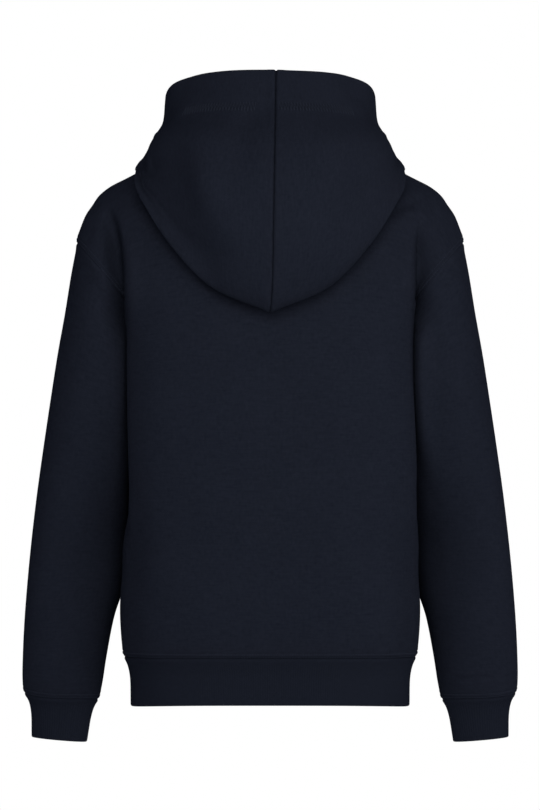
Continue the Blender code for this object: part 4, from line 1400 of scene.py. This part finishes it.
class Sweatshirt:
    """The whole garment."""

    def __init__(self) -> None:
        """Chooses the cut and the finishes."""
        self.cut = Cut()
        self.body, self.sleeves = BodyPanels(self.cut), Sleeves(self.cut)
        self.hood, self.ribs = Hood(self.cut), Ribs(self.cut)
        self.finishes = {Slot.FLEECE: FleeceFinish().material(), Slot.RIB: RibFinish().material()}
        self.thread = ThreadFinish().material()
        self.looper = ThreadFinish("navy_looper_thread", (0.0125, 0.0148, 0.0222, 1.0),
                                   (0.0180, 0.0212, 0.0316, 1.0)).material()

    def build(self) -> None:
        """Builds every piece of cloth and its stitches."""
        makers = [(part, piece) for part in (self.body, self.sleeves, self.hood, self.ribs)
                  for piece in part.pieces()]
        pieces = [piece for _, piece in makers]
        seams = Seams(pieces)
        normals = seams.normals()
        heights = seams.mean([part.relief(piece, normal)[..., None]
                              for (part, piece), normal in zip(makers, normals)])
        leans = seams.mean([part.lean(piece) if isinstance(part, Hood) else self.body.drape.sink(piece)
                            for part, piece in makers])
        for piece, normal, height, lean in zip(pieces, normals, heights, leans):
            piece.grid = piece.grid + normal * height * MM + lean
        steps = seams.wall_steps()
        for (part, piece), step in zip(makers, steps):
            shown, wall = part.ribbed(piece, step) if isinstance(part, Ribs) else (piece, step)
            thing = MeshMaker.shell(shown, wall, self.finishes[piece.slot])
            self.dress(thing, piece)
        self.stitch({piece.name: (piece, -unit(step)) for piece, step in zip(pieces, steps)})

    def dress(self, thing: bpy.types.Object, piece: Cloth) -> None:
        """Declares a piece of cloth to the frame."""
        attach(thing, "root")
        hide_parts(piece.name)
        LOG.info("%s: %d faces", piece.name, len(thing.data.polygons))

    def stitch(self, cloths: dict[str, tuple[Cloth, np.ndarray]]) -> None:
        """Sews the rows of topstitching and the overlock loops of the hood's turned hem."""
        twin = Thread()
        loops = Thread(pitch=3.15, width=0.85, rise=0.34)
        body_rows = len(self.cut.sampling.body) - 1
        rows: dict[str, list] = {}
        for name in ("back_panel", "front_panel"):
            cloth, normal = cloths[name]
            found = rows.setdefault(f"topstitch_{name}", [])
            for distance in self.body.armhole.rows:
                for edge in (Edge.FIRST_COLUMN, Edge.LAST_COLUMN):
                    part = slice(body_rows + 2, None)
                    found.append(twin.row(*line_at(cloth, normal, edge, distance, part), False))
            for distance in self.body.hem.rows:
                found.append(twin.row(*line_at(cloth, normal, Edge.FIRST_ROW, distance), False))
        for name in ("sleeve_left", "sleeve_right"):
            cloth, normal = cloths[name]
            rows[f"topstitch_{name}"] = [twin.row(*line_at(cloth, normal, Edge.LAST_ROW, distance), True)
                                         for distance in self.sleeves.foot.rows]
        for name in ("hood_left", "hood_right"):
            cloth, normal = cloths[name]
            upper, _ = line_at(cloth, normal, Edge.LAST_COLUMN, self.hood.casing)
            lower, ups = line_at(cloth, normal, Edge.LAST_COLUMN, self.hood.casing + self.hood.loops_height)
            away = np.abs(upper[:, 0]) / MM
            behind = (upper[:, 1] > 0.0) & (away > self.hood.loops_from) & (away < self.hood.loops_to)
            before = (upper[:, 1] < 0.0) & (away < self.hood.loops_to)
            rows[f"loops_{name}"] = [loops.zigzag(upper[part], lower[part], ups[part]) for part in (behind,
                                                                                                    before)]
        for name, found in rows.items():
            points = np.concatenate([part[0] for part in found])
            starts = np.cumsum([0] + [len(part[0]) for part in found[:-1]])
            quads = np.concatenate([part[1] + start for part, start in zip(found, starts)])
            thing = MeshMaker.make(name, points, quads,
                                   self.looper if name.startswith("loops") else self.thread)
            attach(thing, "root")
            LOG.info("%s: %d faces", name, len(quads))


# ---- Studio ----

@dataclass
class Studio:
    """A pale floor where the wearer would stand, a white room, soft lights and a level camera behind."""

    floor_z: float = -1.15
    floor_size: float = 8.0
    camera_distance: float = 6.0
    frame_height: float = 0.8337
    aim: tuple[float, float] = (0.0001, -0.25235)
    sensor: float = 36.0

    def build(self) -> None:
        """Makes floor, world, lights and camera."""
        self.floor()
        self.world()
        self.light("near_key", (0.0, 1.5, 0.25), 1.0, 14.0)
        self.light("near_side_key", (-1.0, 1.2, 0.1), 1.0, 3.5)
        self.light("high_key", (-0.1, 2.5, 1.5), 1.7, 17.4)
        self.light("low_side_key", (-3.2, 2.0, -1.0), 2.0, 31.0)
        self.light("low_left_key", (2.4, 2.2, -0.9), 1.6, 7.5)
        self.light("right_key", (-3.4, 0.3, -0.5), 2.0, 34.0)
        self.light("left_key", (3.2, 0.6, -1.1), 2.0, 17.0)
        self.light("front_key", (0.3, -3.9, 0.35), 2.0, 95.0)
        self.camera()

    def floor(self) -> None:
        """A plain pale floor."""
        half = self.floor_size / 2
        points = np.array([(-half, -half, self.floor_z), (half, -half, self.floor_z),
                           (half, half, self.floor_z), (-half, half, self.floor_z)])
        shader = Shader("pale_floor")
        grain = shader.noise(shader.place(), 0.02, 3.0, 0.6)
        colour = shader.mix(grain, (0.80, 0.80, 0.80, 1.0), (0.84, 0.84, 0.84, 1.0))
        material = shader.finish(colour, 0.8, None, {"Specular IOR Level": 0.1})
        MeshMaker.make("floor", points, np.array([[0, 1, 2, 3]]), material)

    def world(self) -> None:
        """A white room to the eye, and a dim, slightly blue one as light."""
        world = bpy.data.worlds.new("room")
        world.use_nodes = True
        tree = world.node_tree
        seen = tree.nodes["Background"]
        seen.inputs["Color"].default_value = (1.0, 1.0, 1.0, 1.0)
        seen.inputs["Strength"].default_value = 1.0
        lit = tree.nodes.new("ShaderNodeBackground")
        lit.inputs["Color"].default_value = (0.90, 0.95, 1.26, 1.0)
        lit.inputs["Strength"].default_value = 0.15
        path = tree.nodes.new("ShaderNodeLightPath")
        mix = tree.nodes.new("ShaderNodeMixShader")
        tree.links.new(path.outputs["Is Camera Ray"], mix.inputs["Fac"])
        tree.links.new(lit.outputs["Background"], mix.inputs[1])
        tree.links.new(seen.outputs["Background"], mix.inputs[2])
        tree.links.new(mix.outputs["Shader"], tree.nodes["World Output"].inputs["Surface"])
        bpy.context.scene.world = world
        bpy.context.scene.view_settings.view_transform = "Standard"

    def light(self, name: str, place: tuple[float, float, float], size: float, watts: float) -> None:
        """A square soft light that faces the garment's middle."""
        data = bpy.data.lights.new(name, "AREA")
        data.size = size
        data.energy = watts
        light = bpy.data.objects.new(name, data)
        away = np.array(place) - np.array([0.0, 0.0, self.aim[1]])
        light.location = place
        flat = math.hypot(away[0], away[1])
        light.rotation_euler = (math.atan2(flat, away[2]), 0.0, math.atan2(away[0], -away[1]))
        bpy.context.scene.collection.objects.link(light)

    def camera(self) -> None:
        """A level camera behind the back, far enough for a flat look."""
        data = bpy.data.cameras.new("camera")
        data.sensor_width = self.sensor
        data.lens = self.sensor * self.camera_distance / self.frame_height
        camera = bpy.data.objects.new("camera", data)
        camera.location = (self.aim[0], self.camera_distance, self.aim[1])
        camera.rotation_euler = (math.pi / 2, 0.0, math.pi)
        bpy.context.scene.collection.objects.link(camera)
        bpy.context.scene.camera = camera


def main() -> None:
    """Builds the garment and its studio."""
    logging.basicConfig(level=logging.INFO, format="%(name)s %(message)s")
    Sweatshirt().build()
    Studio().build()


if __name__ == "__main__":
    main()
